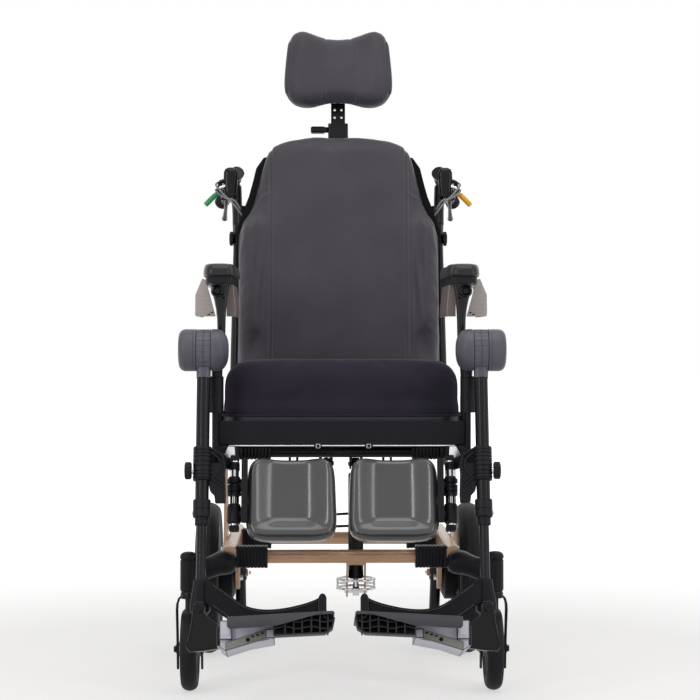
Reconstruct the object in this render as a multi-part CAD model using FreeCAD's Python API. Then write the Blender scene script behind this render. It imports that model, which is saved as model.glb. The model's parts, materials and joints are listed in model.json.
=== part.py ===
import FreeCAD, Part
import math
import os

# A tilt-in-space wheelchair, in millimetres. X is across the chair, the user faces -Y, +Z is up.
# While it is built, y = 0 is at the caster stems. The finished chair is moved so that the origin
# lies on the floor under the middle of its overall box.

V = FreeCAD.Vector
RIGHT = 1
LEFT = -1

# Fits and walls
FIT = 0.05  # radial clearance of a shaft in its hole
GAP = 0.3  # clearance between pieces that move past each other
OPEN_PIVOT = 3.7  # clearance round the pin that a gas spring's far eye goes over
TUBE_WALL = 2.0

# Rear wheels
REAR_RADIUS = 152.0
REAR_WIDTH = 46.0
REAR_X = 262.0
REAR_AXLE_Y = 505.0
REAR_RIM_RADIUS = 113.0
AXLE_R = 6.0
DRUM_RADIUS = 44.0

# Casters
CASTER_RADIUS = 75.0
CASTER_WIDTH = 30.0
CASTER_X = 275.0
CASTER_TRAIL = 45.0
CASTER_RIM_RADIUS = 50.0
CASTER_AXLE_R = 5.0
FORK_INSIDE = 19.5  # from the wheel's middle to the inner face of a leg
FORK_LEG = 5.0
HOUSING_R = 15.0
HOUSING_LOW = 185.0
HOUSING_HIGH = 256.0
STEM_R = 6.0

# Base frame
RAIL_INNER_X = 192.0
RAIL_WIDE = 24.0
RAIL_HIGH = 40.0
RAIL_Z = 239.0
RAIL_FRONT = 60.0
RAIL_REAR = 522.0
CROSS_R = 12.5
FRONT_CROSS_Y = 78.0
REAR_CROSS_Y = 430.0
SLEEVE_LONG = 57.0
SLEEVE_DEEP = 40.0
SLEEVE_RIBS = 9
PLATE_THICK = 6.0
TILT_Y = 290.0
TILT_Z = 400.0
TILT_PIN_R = 7.0
TIPPER_R = 11.0

# Seat frame
SEAT_RAIL_X = 186.0
SEAT_RAIL_WIDE = 24.0
SEAT_RAIL_LOW = 416.0
SEAT_RAIL_HIGH = 444.0
SEAT_RAIL_FRONT = -12.0
SEAT_RAIL_REAR = 488.0
SEAT_CROSS_R = 10.0
SEAT_FRONT_CROSS_Y = 78.0
SEAT_REAR_CROSS_Y = 380.0
SEAT_PLATE_THICK = 3.0
CUSHION_HALF = 218.0
CUSHION_FRONT = 16.0
CUSHION_REAR = 402.0
CUSHION_LOW = 496.0
CUSHION_HIGH = 599.0
BOARD_HALF = 220.5
BOARD_THICK = 5.0
BOARD_LONG = 43.0
PLATE_HALF = 205.0
PLATE_FRONT = 22.0
PLATE_REAR = 428.0

# Armrests
POST_X = 227.0
POST_WIDE = 12.0
POST_Y = 75.0
POST_DEEP = 30.0
POST_LOW = 426.0
SOCKET_HIGH = 532.0
ARM_BASE_Z = 738.0
ARM_BASE_THICK = 12.0
PAD_X = 224.0
PAD_WIDE = 63.0
PAD_THICK = 25.0
PAD_FRONT = 20.0
PAD_LONG = 300.0
GUARD_HIGH = 50.0
POST_TOP = 48.0  # from the pad's base down to where the post's bar ends
HAND_KNOB_R = 13.0
GUARD_WALL = 2.5

# Legrests
HUB_Y = -30.0
HUB_Z = 617.0
HUB_RADIUS = 37.5
HUB_INNER = 202.0
COLLAR_INNER = 233.0
COLLAR_OUTER = 259.0
HUB_OUTER = 291.0
HUB_PIN_R = 8.0
SWING_X = 226.0
SWING_PIN_R = 9.0
SWING_SOCKET_R = 14.0
LEG_X = 246.0
LEG_R = 12.0
LEG_BORE = 8.55
LEG_END = 301.0
LEG_LEAN = 15.0
INNER_TUBE_R = 8.5
INNER_TUBE_START = 150.0
INNER_TUBE_END = 420.0
INDEX_HOLES = 9
INDEX_PITCH = 12.0
FLIP_X = 248.0
FLIP_DOWN = 463.0
FLIP_PIN_R = 5.0
PLATE_LINE = -18.5  # how far in front of the leg the footplate's rear edge lies
PLATE_DEEP = 165.0
PLATE_DROP = 482.0  # from the hub down to the footplate's outer edge
PLATE_SLOPE = 0.16
PLATE_OUTER = 205.0
PLATE_INNER = 16.0
CALF_POST_X = 191.0
CALF_POST_BACK = 38.0
CALF_POST_R = 8.0
CALF_TOP = 196.0
CALF_HIGH = 153.0
CALF_INNER = 10.0
CALF_WIDE = 161.0
CALF_THICK = 40.0

# Back
RECLINE_Y = 470.0
RECLINE_Z = 430.0
RECLINE_PIN_R = 7.0
BACK_LEAN = 9.0
CANE_X = 209.0
CANE_R = 12.5
CANE_BORE = 10.55
CANE_START = 40.0
CANE_END = 482.0
BACK_CROSS_R = 10.0
LOW_CROSS = 60.0
HIGH_CROSS = 545.0
BACK_PAD_HALF = 208.0
BACK_PAD_LOW = 98.0
BACK_PAD_HIGH = 626.0
BACK_PAD_FRONT = -84.0
PANEL_THICK = 4.0
PANEL_FRONT = -(CANE_R + GAP + PANEL_THICK)
BACK_PAD_THICK = PANEL_FRONT - GAP - BACK_PAD_FRONT
HANDLE_R = 10.5
HANDLE_TOP = 566.0
HANDLE_BEND = 28.0
GRIP_R = 15.0
GRIP_LONG = 104.0
LEVER_EYE = 14.0
HEAD_POST_WIDE = 29.0
HEAD_POST_THICK = 8.0
HEAD_POST_BACK = 2.0  # from the cane line to the headrest post's middle
HEAD_CLAMP = 635.0
HEAD_PIVOT = 752.0
HEAD_WIDE = 224.0
HEAD_THICK = 66.0
HEAD_PIN_R = 5.0

# Gas springs, each from its lower or front pin to the pin that its far eye goes over
TILT_SPRING_X = 27.0
TILT_SPRING_BACK = 32.0  # how far behind the front cross tube the tilt spring stands
TILT_SPRING_FOOT = (FRONT_CROSS_Y + TILT_SPRING_BACK, 172.0)
TILT_SPRING_HEAD = (TILT_SPRING_FOOT[0] + 20.0, 405.0)
TILT_SPRING_R = 14.0
WIRE_R = 2.4
WIRE_RING_R = 34.0
RECLINE_SPRING_X = -27.0
RECLINE_SPRING_FOOT = (150.0, 405.0)
RECLINE_SPRING_HEAD = (RECLINE_Y - 15.0, RECLINE_Z - 45.0)
RECLINE_SPRING_R = 11.0
SPRING_PIN_R = 4.0


def box(x0, x1, y0, y1, z0, z1):
    """A block between two corners."""
    return Part.makeBox(x1 - x0, y1 - y0, z1 - z0, V(x0, y0, z0))


def rod(radius, start, end):
    """A round bar from one point to another."""
    a, b = V(*start), V(*end)
    return Part.makeCylinder(radius, (b - a).Length, a, b - a)


def pipe(radius, bore, start, end):
    """A round bar with a bore right through it."""
    return rod(radius, start, end).cut(rod(bore, start, end))


def along_x(radius, x0, x1, y, z, bore=0.0):
    """A round bar or tube that lies across the chair."""
    if bore:
        return pipe(radius, bore, (x0, y, z), (x1, y, z))
    return rod(radius, (x0, y, z), (x1, y, z))


def joined(shapes):
    """One solid out of pieces that are welded, cast or moulded together."""
    return shapes[0].multiFuse(shapes[1:]).removeSplitter()


def less(shape, tools):
    """A shape with each tool cut out of it."""
    for tool in tools:
        shape = shape.cut(tool)
    return shape


def group(shapes):
    """Separate solids that share a node."""
    return Part.makeCompound(shapes)


def softened(shape, radius, choose=None):
    """A shape with its edges, or the edges that choose picks, rounded."""
    edges = [e for e in shape.Edges if choose is None or choose(e)]
    return shape.makeFillet(radius, edges)


def runs_along(axis):
    """Picks the straight edges that run along X (0), Y (1) or Z (2)."""

    def choose(edge):
        if len(edge.Vertexes) != 2:
            return False
        step = edge.Vertexes[1].Point - edge.Vertexes[0].Point
        return abs(abs(step[axis]) - edge.Length) < 1e-6

    return choose


def sheet_yz(outline, x0, x1):
    """A plate across X with its outline given as (y, z) points."""
    points = [V(x0, y, z) for y, z in outline]
    face = Part.Face(Part.makePolygon(points + points[:1]))
    return face.extrude(V(x1 - x0, 0, 0))


def sheet_xz(outline, y0, y1):
    """A plate across Y with its outline given as (x, z) points."""
    points = [V(x, y0, z) for x, z in outline]
    face = Part.Face(Part.makePolygon(points + points[:1]))
    return face.extrude(V(0, y1 - y0, 0))


def turned(profile, x_middle, y, z):
    """A solid of revolution about a line along X; the profile holds (x from the middle, radius) points."""
    points = [V(x_middle + x, y, z + r) for x, r in profile]
    face = Part.Face(Part.makePolygon(points + points[:1]))
    return face.revolve(V(x_middle, y, z), V(1, 0, 0), 360)


def lean(shape, y, z, degrees):
    """A shape turned about a line along X so that what is above it goes back and what is below goes forward."""
    leaned = shape.copy()
    leaned.rotate(V(0, y, z), V(-1, 0, 0), degrees)
    return leaned


def on_side(shape, side):
    """The right-hand shape, or its mirror image on the left."""
    if side == RIGHT:
        return shape
    return shape.mirror(V(0, 0, 0), V(1, 0, 0))


def bent_path(points, bend):
    """A wire of straight runs with a tangent arc of radius bend at each corner."""
    corners = [V(*p) for p in points]
    edges, start = [], corners[0]
    for before, corner, after in zip(corners, corners[1:], corners[2:]):
        back = (before - corner).normalize()
        ahead = (after - corner).normalize()
        half = back.getAngle(ahead) / 2
        reach = bend / math.tan(half)
        inward = (back + ahead).normalize()
        middle = corner + inward * (bend / math.sin(half) - bend)
        first, last = corner + back * reach, corner + ahead * reach
        edges += [Part.LineSegment(start, first).toShape(), Part.Arc(first, middle, last).toShape()]
        start = last
    edges.append(Part.LineSegment(start, corners[-1]).toShape())
    return Part.Wire(edges)


def bent_bar(points, radius, bend):
    """A round bar or cable that follows a bent path."""
    path = bent_path(points, bend)
    way = V(*points[1]) - V(*points[0])
    ring = Part.Wire(Part.makeCircle(radius, V(*points[0]), way))
    return path.makePipeShell([ring], True, False)


def leg_point(back, down):
    """The (y, z) of a point of the upright leg: how far behind the leg's line, and how far below the hub."""
    return HUB_Y + back, HUB_Z - down


def leg_box(x0, x1, back0, back1, top, bottom):
    """A block on the upright leg, between two distances below the hub."""
    return box(x0, x1, HUB_Y + back0, HUB_Y + back1, HUB_Z - bottom, HUB_Z - top)


def leg_rod(radius, x, back, top, bottom, bore=0.0):
    """A round bar or tube along the upright leg."""
    y = HUB_Y + back
    if bore:
        return pipe(radius, bore, (x, y, HUB_Z - bottom), (x, y, HUB_Z - top))
    return rod(radius, (x, y, HUB_Z - bottom), (x, y, HUB_Z - top))


def leaned_leg(shape):
    """A piece of the upright leg, leaned to the leg's real angle."""
    return lean(shape, HUB_Y, HUB_Z, LEG_LEAN)


def back_box(x0, x1, back0, back1, low, high):
    """A block on the upright back, between two heights above the recline pin."""
    return box(x0, x1, RECLINE_Y + back0, RECLINE_Y + back1, RECLINE_Z + low, RECLINE_Z + high)


def leaned_back(shape):
    """A piece of the upright back, leaned to the back's real angle."""
    return lean(shape, RECLINE_Y, RECLINE_Z, BACK_LEAN)


def tyre(radius, rim_radius, width, x, y):
    """A solid tyre with a rounded tread, standing on the floor."""
    half = width / 2
    z = radius
    shoulder = radius - 0.75 * half
    bead = 0.8 * half
    edges = [
        Part.LineSegment(V(x - bead, y, z + rim_radius), V(x - half, y, z + shoulder)).toShape(),
        Part.Arc(V(x - half, y, z + shoulder), V(x, y, z + radius), V(x + half, y, z + shoulder)).toShape(),
        Part.LineSegment(V(x + half, y, z + shoulder), V(x + bead, y, z + rim_radius)).toShape(),
        Part.LineSegment(V(x + bead, y, z + rim_radius), V(x - bead, y, z + rim_radius)).toShape(),
    ]
    return Part.Face(Part.Wire(edges)).revolve(V(x, y, z), V(1, 0, 0), 360)


def wheel_centre(radius, rim_radius, width, x, y, hub_half, hub_radius, axle, holes, hole_radius):
    """A moulded wheel centre: a flanged rim, a thin web with round holes, and a hub on its axle."""
    half = 0.8 * width / 2
    rim_wall = 0.09 * radius
    web = 0.13 * width
    profile = [
        (-half, rim_radius),
        (half, rim_radius),
        (half, rim_radius - rim_wall),
        (web, rim_radius - 1.6 * rim_wall),
        (web, hub_radius),
        (hub_half, hub_radius * 0.8),
        (hub_half, axle + FIT),
        (-hub_half, axle + FIT),
        (-hub_half, hub_radius * 0.8),
        (-web, hub_radius),
        (-web, rim_radius - 1.6 * rim_wall),
        (-half, rim_radius - rim_wall),
    ]
    centre = turned(profile, x, y, radius)
    ring = (hub_radius + rim_radius - 1.6 * rim_wall) / 2
    cutters = []
    for n in range(holes):
        angle = 2 * math.pi * n / holes
        hole_y = y + ring * math.cos(angle)
        hole_z = radius + ring * math.sin(angle)
        cutters.append(along_x(hole_radius, x - width, x + width, hole_y, hole_z))
    return less(centre, cutters)


def rear_wheel(side):
    """The tyre and the centre of a rear wheel."""
    hub_half = REAR_WIDTH / 2 + 0.5
    rubber = tyre(REAR_RADIUS, REAR_RIM_RADIUS, REAR_WIDTH, REAR_X, REAR_AXLE_Y)
    centre = wheel_centre(
        REAR_RADIUS, REAR_RIM_RADIUS, REAR_WIDTH, REAR_X, REAR_AXLE_Y, hub_half, 34.0, AXLE_R, 6, 17.0
    )
    return {"rear_tyre": on_side(rubber, side), "rear_rim": on_side(centre, side)}


def caster(side):
    """A caster's tyre, centre and fork, trailing behind its stem."""
    y = CASTER_TRAIL
    rubber = tyre(CASTER_RADIUS, CASTER_RIM_RADIUS, CASTER_WIDTH, CASTER_X, y)
    centre = wheel_centre(
        CASTER_RADIUS, CASTER_RIM_RADIUS, CASTER_WIDTH, CASTER_X, y,
        FORK_INSIDE - GAP, 17.0, CASTER_AXLE_R, 5, 7.0,
    )
    crown_top = HOUSING_LOW - GAP
    outline = [(-16, crown_top), (22, crown_top), (66, 80), (62, 42), (55, 36), (44, 36), (37, 44), (28, 78), (-16, 160)]
    outer = FORK_INSIDE + FORK_LEG
    leg_a = sheet_yz(outline, CASTER_X + FORK_INSIDE, CASTER_X + outer)
    leg_b = sheet_yz(outline, CASTER_X - outer, CASTER_X - FORK_INSIDE)
    crown = box(CASTER_X - outer, CASTER_X + outer, -16, 22, crown_top - 12, crown_top)
    stem = rod(STEM_R, (CASTER_X, 0, crown_top - 6), (CASTER_X, 0, HOUSING_HIGH - 8))
    axle = along_x(CASTER_AXLE_R, CASTER_X - outer - 3, CASTER_X + outer + 3, y, CASTER_RADIUS)
    spare_holes = [
        along_x(3.0, CASTER_X - 2 * outer, CASTER_X + 2 * outer, y + 4, CASTER_RADIUS - 15 - 12 * n) for n in range(2)
    ]
    fork = less(joined([leg_a, leg_b, crown, stem, axle]), spare_holes)
    return {
        "caster_tyre": on_side(rubber, side),
        "caster_rim": on_side(centre, side),
        "caster_fork": on_side(fork, side),
    }


def caster_housing(side):
    """The stem housing with its domed cap, and the moulded arm that holds it to the side frame."""
    barrel = rod(HOUSING_R, (CASTER_X, 0, HOUSING_LOW), (CASTER_X, 0, HOUSING_HIGH - 6))
    groove_z = HOUSING_HIGH - 14
    groove = pipe(HOUSING_R + 1, HOUSING_R - 1, (CASTER_X, 0, groove_z), (CASTER_X, 0, groove_z + 2))
    cap = Part.makeCone(HOUSING_R, HOUSING_R - 6, 6, V(CASTER_X, 0, HOUSING_HIGH - 6), V(0, 0, 1))
    outline = [(RAIL_INNER_X, 214), (RAIL_INNER_X - 2, 246), (200, 262), (216, 266), (228, 260), (240, 244)]
    outline += [(CASTER_X - 6, 238), (CASTER_X - 6, 196), (238, 198), (214, 202)]
    arm = softened(sheet_xz(outline, 4, RAIL_FRONT), 5.0, runs_along(1))
    bore = rod(STEM_R + FIT, (CASTER_X, 0, HOUSING_LOW - 1), (CASTER_X, 0, HOUSING_HIGH - 7))
    housing = less(joined([barrel, cap, arm]), [bore, groove])
    return {"caster_housing": on_side(housing, side)}


def side_frame(side):
    """The base's side: a hollow rail, the plate that carries the rear axle, and the tower of the tilt pin."""
    x0, x1 = RAIL_INNER_X, RAIL_INNER_X + RAIL_WIDE
    z0, z1 = RAIL_Z - RAIL_HIGH / 2, RAIL_Z + RAIL_HIGH / 2
    rail = softened(box(x0, x1, RAIL_FRONT, RAIL_REAR, z0, z1), 8.0, runs_along(1))
    wall = 3.0
    hollow = box(x0 + wall, x1 - wall, RAIL_FRONT + wall, RAIL_REAR - wall, z0 + wall, z1 - wall)
    cross_holes = [along_x(CROSS_R, x0 - 1, x0 + wall, y, RAIL_Z) for y in (FRONT_CROSS_Y, REAR_CROSS_Y)]
    rail = less(rail, [softened(hollow, 5.0, runs_along(1))] + cross_holes)
    middle = (x0 + x1) / 2
    drop = [(REAR_AXLE_Y - 50, z0 + 1), (RAIL_REAR - 2, z0 + 1), (RAIL_REAR - 2, REAR_RADIUS)]
    drop += [(REAR_AXLE_Y + 10, REAR_RADIUS - 22), (REAR_AXLE_Y - 16, REAR_RADIUS - 22), (REAR_AXLE_Y - 30, REAR_RADIUS)]
    axle_plate = sheet_yz(drop, middle - 4, middle + 4)
    axle_plate = axle_plate.cut(along_x(AXLE_R, x0, x1, REAR_AXLE_Y, REAR_RADIUS))
    welded = joined([rail, axle_plate])
    top = TILT_Z + 14
    shape = [(TILT_Y - 62, z0 + 6), (TILT_Y + 62, z0 + 6), (TILT_Y + 58, z1 - 4), (TILT_Y + 16, TILT_Z + 2)]
    shape += [(TILT_Y + 9, top), (TILT_Y - 9, top), (TILT_Y - 16, TILT_Z + 2), (TILT_Y - 58, z1 - 4)]
    tower = sheet_yz(shape, x1, x1 + PLATE_THICK)
    boss = along_x(13.0, SEAT_RAIL_X + SEAT_RAIL_WIDE + 1 + GAP, x1, TILT_Y, TILT_Z)
    window = sheet_yz(
        [(TILT_Y - 32, z1 + 8), (TILT_Y + 32, z1 + 8), (TILT_Y + 12, TILT_Z - 36), (TILT_Y - 12, TILT_Z - 36)],
        x1 - 1, x1 + PLATE_THICK + 1,
    )
    pin_hole = along_x(TILT_PIN_R, x0, x1 + 20, TILT_Y, TILT_Z)
    tower = less(joined([tower, boss]), [window, pin_hole])
    pin = along_x(TILT_PIN_R, SEAT_RAIL_X + 14, x1 + PLATE_THICK, TILT_Y, TILT_Z)
    head = along_x(11.0, x1 + PLATE_THICK, x1 + PLATE_THICK + 5, TILT_Y, TILT_Z)
    pieces = [welded, tower, joined([pin, head])]
    return {"side_frame": group([on_side(p, side) for p in pieces])}


def cross_tubes():
    """The two tubes that join the side frames."""
    reach = RAIL_INNER_X + 3.0
    tubes = [along_x(CROSS_R, -reach, reach, y, RAIL_Z, CROSS_R - TUBE_WALL) for y in (FRONT_CROSS_Y, REAR_CROSS_Y)]
    return {"cross_tubes": group(tubes)}


def ribbed_sleeve(x0, x1, y, z, half_deep, half_high, bore):
    """A moulded clamp sleeve on a cross tube, with upright ribs all along it."""
    block = box(x0, x1, y - half_deep, y + half_deep, z - half_high, z + half_high)
    block = softened(block, 6.0, runs_along(0))
    pitch = (x1 - x0) / SLEEVE_RIBS
    cutters = [along_x(bore, x0 - 1, x1 + 1, y, z)]
    depth = 1.6
    for n in range(1, SLEEVE_RIBS):
        low = x0 + n * pitch - 0.15 * pitch
        slab = box(low, low + 0.3 * pitch, y - 2 * half_deep, y + 2 * half_deep, z - 2 * half_high, z + 2 * half_high)
        core = box(
            low, low + 0.3 * pitch, y - half_deep + depth, y + half_deep - depth, z - half_high + depth,
            z + half_high - depth,
        )
        cutters.append(slab.cut(core))
    return less(block, cutters)


def cross_tube_clamps():
    """The four ribbed sleeves at the ends of the cross tubes."""
    sleeves = []
    for side in (RIGHT, LEFT):
        for y in (FRONT_CROSS_Y, REAR_CROSS_Y):
            x1 = RAIL_INNER_X
            sleeve = ribbed_sleeve(x1 - SLEEVE_LONG, x1, y, RAIL_Z, SLEEVE_DEEP / 2 - 2, RAIL_HIGH / 2, CROSS_R)
            sleeves.append(on_side(sleeve, side))
    return {"cross_tube_clamps": group(sleeves)}


def drum_brakes():
    """A brake drum's fixed back plate on each side, with the wheel's axle through it."""
    pieces = []
    inner = RAIL_INNER_X + RAIL_WIDE / 2 + 4
    outer = REAR_X - REAR_WIDTH / 2 - 0.5 - GAP
    profile = [
        (0, AXLE_R), (0, DRUM_RADIUS - 14), (7, DRUM_RADIUS), (outer - inner, DRUM_RADIUS),
        (outer - inner, DRUM_RADIUS - 4), (9, DRUM_RADIUS - 6), (9, 17), (outer - inner, 15), (outer - inner, AXLE_R),
    ]
    for side in (RIGHT, LEFT):
        plate = turned(profile, inner, REAR_AXLE_Y, REAR_RADIUS)
        axle = along_x(AXLE_R, RAIL_INNER_X + 2, REAR_X + REAR_WIDTH / 2 + 1, REAR_AXLE_Y, REAR_RADIUS)
        nut_x = REAR_X + REAR_WIDTH / 2 + 0.5 + GAP
        nut = along_x(9.0, nut_x, nut_x + 4, REAR_AXLE_Y, REAR_RADIUS)
        pieces += [on_side(plate, side), on_side(joined([axle, nut]), side)]
    return {"drum_brakes": group(pieces)}


def anti_tippers():
    """The tube behind each side frame that stops the chair from tipping back, with its rubber foot."""
    pieces = []
    x = RAIL_INNER_X + 9
    z0 = RAIL_Z - RAIL_HIGH / 2
    start = (x, REAR_AXLE_Y + 46, z0 - 50)
    foot = (x, REAR_AXLE_Y + 118, 54)
    way = (V(*foot) - V(*start)).normalize()
    for side in (RIGHT, LEFT):
        tube = pipe(TIPPER_R, TIPPER_R - TUBE_WALL, start, foot)
        tip = rod(TIPPER_R + 3, foot, tuple(V(*foot) + way * 15))
        holder = box(x - 7, x + 7, RAIL_REAR, RAIL_REAR + 38, z0 - 46, z0 + 30)
        top = V(*start) - way * 8
        sheath = Part.makeCylinder(TIPPER_R + 2.5, 38, top, way)
        inside = Part.makeCylinder(TIPPER_R, 40, V(*start), way)
        holder = joined([holder, sheath]).cut(inside)
        holder = holder.cut(box(x - 40, x + 40, RAIL_REAR - 40, RAIL_REAR, 0, 400))
        pieces += [on_side(p, side) for p in (tube, tip, holder)]
    return {"anti_tippers": group(pieces)}


def base_fasteners():
    """Bolts that hold the towers and the front arms to the side frames."""
    pieces = []
    outer = RAIL_INNER_X + RAIL_WIDE + PLATE_THICK
    for side in (RIGHT, LEFT):
        for y in (TILT_Y - 46, TILT_Y + 46):
            pieces.append(on_side(along_x(6.5, outer, outer + 5, y, RAIL_Z - 4), side))
        face = RAIL_Z - RAIL_HIGH / 2
        for y in (FRONT_CROSS_Y, FRONT_CROSS_Y + 18):
            x = RAIL_INNER_X + RAIL_WIDE / 2
            pieces.append(on_side(rod(6.5, (x, y, face - 6), (x, y, face)), side))
    return {"base_fasteners": group(pieces)}


def spring_clevis():
    """The two lugs under the front cross tube that hold the tilt spring's foot, its pin and its wire guard."""
    y, z = TILT_SPRING_FOOT
    low = z - 10
    front = FRONT_CROSS_Y - 8
    outline = [(front, RAIL_Z - 4), (front, RAIL_Z - CROSS_R - 6), (y - 12, low), (y + 9, low), (y + 12, low + 20)]
    outline += [(FRONT_CROSS_Y + CROSS_R + 6, RAIL_Z - 4)]
    lugs = [sheet_yz(outline, x, x + 3) for x in (TILT_SPRING_X - 18, TILT_SPRING_X + 15)]
    tube = along_x(CROSS_R, -200, 200, FRONT_CROSS_Y, RAIL_Z)
    saddle = box(TILT_SPRING_X - 18, TILT_SPRING_X + 18, front, y - 25, RAIL_Z - CROSS_R - 3, RAIL_Z - 4)
    cradle = joined(lugs + [saddle]).cut(tube)
    cradle = cradle.cut(along_x(SPRING_PIN_R, TILT_SPRING_X - 30, TILT_SPRING_X + 30, y, z))
    pin = along_x(SPRING_PIN_R, TILT_SPRING_X - 21, TILT_SPRING_X + 21, y, z)
    ring_low, ring_high = z + 6, z + 22
    wires = [Part.makeTorus(WIRE_RING_R, WIRE_R, V(TILT_SPRING_X, y, height)) for height in (ring_low, ring_high)]
    ring_mid = (ring_low + ring_high) / 2
    for way in (-1, 1):
        x_out = TILT_SPRING_X + way * WIRE_RING_R
        wires.append(rod(0.75 * WIRE_R, (x_out, y, ring_low), (x_out, y, ring_high)))
        wires.append(rod(0.6 * WIRE_R, (x_out, y, ring_mid), (TILT_SPRING_X + way * 18, y, ring_mid)))
    return {"spring_clevis": group([cradle, pin, joined(wires)])}


def aimed(shape, start, end):
    """A piece made upright on the origin, moved to start and pointed at end, both (y, z)."""
    angle = math.degrees(math.atan2(end[0] - start[0], end[1] - start[1]))
    placed = shape.copy()
    placed.rotate(V(0, 0, 0), V(-1, 0, 0), angle)
    placed.translate(V(0, start[0], start[1]))
    return placed


def tilt_spring():
    """The spring that carries the tilt: its rod stands on the base, its cylinder holds up the seat."""
    start, end = TILT_SPRING_FOOT, TILT_SPRING_HEAD
    x = TILT_SPRING_X
    length = math.dist(start, end)
    shaft = 5.0
    body_low, body_high = 22.0, length - 16
    rod_top = length - 44
    eye_bore = SPRING_PIN_R + OPEN_PIVOT
    foot_eye = along_x(9.0, x - 6, x + 6, 0, 0)
    rod_part = joined([foot_eye, rod(shaft, (x, 0, 6), (x, 0, rod_top))])
    rod_part = rod_part.cut(along_x(SPRING_PIN_R + FIT, x - 30, x + 30, 0, 0))
    barrel = softened(rod(TILT_SPRING_R, (x, 0, body_low), (x, 0, body_high)), 5.0)
    neck = rod(shaft, (x, 0, body_high - 2), (x, 0, length - eye_bore - 1))
    head_eye = along_x(eye_bore + 4, x - 7, x + 7, 0, length)
    bore = rod(shaft + FIT, (x, 0, 0), (x, 0, rod_top + 8))
    eye_hole = along_x(eye_bore, x - 30, x + 30, 0, length)
    cylinder = less(joined([barrel, neck, head_eye]), [bore, eye_hole])
    return {"tilt_spring_cylinder": aimed(cylinder, start, end), "tilt_spring_rod": aimed(rod_part, start, end)}


def recline_spring():
    """The spring of the back: its cylinder is pinned to the seat frame, its rod reaches the back's lever."""
    start, end = RECLINE_SPRING_FOOT, RECLINE_SPRING_HEAD
    x = RECLINE_SPRING_X
    length = math.dist(start, end)
    eye_bore = SPRING_PIN_R + OPEN_PIVOT
    barrel = softened(rod(RECLINE_SPRING_R, (x, 0, 16), (x, 0, 206)), 4.0)
    foot = along_x(9.0, x - 6, x + 6, 0, 0)
    neck = rod(5.0, (x, 0, 6), (x, 0, 20))
    cylinder = joined([barrel, foot, neck])
    cylinder = less(
        cylinder, [along_x(SPRING_PIN_R + FIT, x - 30, x + 30, 0, 0), rod(4 + FIT, (x, 0, 60), (x, 0, 220))]
    )
    shaft = rod(4.0, (x, 0, 90), (x, 0, length - eye_bore - 1))
    eye = along_x(eye_bore + 4, x - 7, x + 7, 0, length)
    shaft = joined([shaft, eye]).cut(along_x(eye_bore, x - 30, x + 30, 0, length))
    return {"recline_spring_cylinder": aimed(cylinder, start, end), "recline_spring_rod": aimed(shaft, start, end)}


def seat_frame():
    """Side rails, cross tubes, ribbed clamps, tilt lugs, spring lugs, armrest sockets and legrest sockets."""
    x0, x1 = SEAT_RAIL_X, SEAT_RAIL_X + SEAT_RAIL_WIDE
    z0, z1 = SEAT_RAIL_LOW, SEAT_RAIL_HIGH
    z_mid = (z0 + z1) / 2
    solids = []
    for side in (RIGHT, LEFT):
        rail = softened(box(x0, x1, SEAT_RAIL_FRONT, SEAT_RAIL_REAR, z0, z1), 5.0, runs_along(1))
        lug = sheet_yz(
            [(TILT_Y - 34, z0 + 4), (TILT_Y + 34, z0 + 4), (TILT_Y + 13, TILT_Z - 12), (TILT_Y - 13, TILT_Z - 12)],
            x1 - 7, x1 + 1,
        )
        post_y0, post_y1 = POST_Y - POST_DEEP / 2, POST_Y + POST_DEEP / 2
        socket_x0 = POST_X - POST_WIDE / 2 - GAP - 2.4
        socket_x1 = POST_X + POST_WIDE / 2 + GAP + 2.4
        socket = box(socket_x0, socket_x1, post_y0 - 3, post_y1 + 3, z0 + 2, SOCKET_HIGH)
        bridge = box(x1 - 1, socket_x0 + 1, post_y0 - 3, post_y1 + 3, z0 + 2, z1)
        hanger_x0, hanger_x1 = SWING_X - 4, SWING_X + 4
        hanger = box(hanger_x0, hanger_x1, -13, 13, z0 + 2, 515)
        spacer = box(x1 - 1, hanger_x0 + 1, SEAT_RAIL_FRONT, 12, z0 + 2, z1)
        receiver = rod(SWING_SOCKET_R, (SWING_X, 0, 505), (SWING_X, 0, 570))
        welded = joined([rail, lug, socket, bridge, hanger, spacer, receiver])
        slot = box(
            POST_X - POST_WIDE / 2 - GAP, POST_X + POST_WIDE / 2 + GAP, post_y0 - GAP, post_y1 + GAP,
            POST_LOW - GAP, SOCKET_HIGH + 1,
        )
        swing_bore = rod(SWING_PIN_R + FIT, (SWING_X, 0, 510), (SWING_X, 0, 571))
        cutters = [slot, swing_bore, along_x(TILT_PIN_R + FIT, x0 - 5, x1 + 5, TILT_Y, TILT_Z)]
        cutters.append(along_x(RECLINE_PIN_R, x0 - 5, x1 + 5, RECLINE_Y, RECLINE_Z))
        solids.append(on_side(less(welded, cutters), side))
        pin = along_x(RECLINE_PIN_R, x0 - 3, x1 + 10, RECLINE_Y, RECLINE_Z)
        pin_head = along_x(11, x1 + 7.2, x1 + 11, RECLINE_Y, RECLINE_Z)
        solids.append(on_side(joined([pin, pin_head]), side))
        knob_z = SOCKET_HIGH - 14
        knob = along_x(11, socket_x1, socket_x1 + 12, POST_Y, knob_z)
        solids.append(on_side(softened(knob, 2.0), side))
        for y in (SEAT_FRONT_CROSS_Y, SEAT_REAR_CROSS_Y):
            sleeve = ribbed_sleeve(x0 - SLEEVE_LONG, x0, y, z_mid, 16, (z1 - z0) / 2 - 0.5, SEAT_CROSS_R)
            solids.append(on_side(sleeve, side))
    for y in (SEAT_FRONT_CROSS_Y, SEAT_REAR_CROSS_Y):
        solids.append(along_x(SEAT_CROSS_R, -x0, x0, y, z_mid, SEAT_CROSS_R - TUBE_WALL))
    solids += spring_lugs()
    return {"seat_frame": group(solids)}


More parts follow.
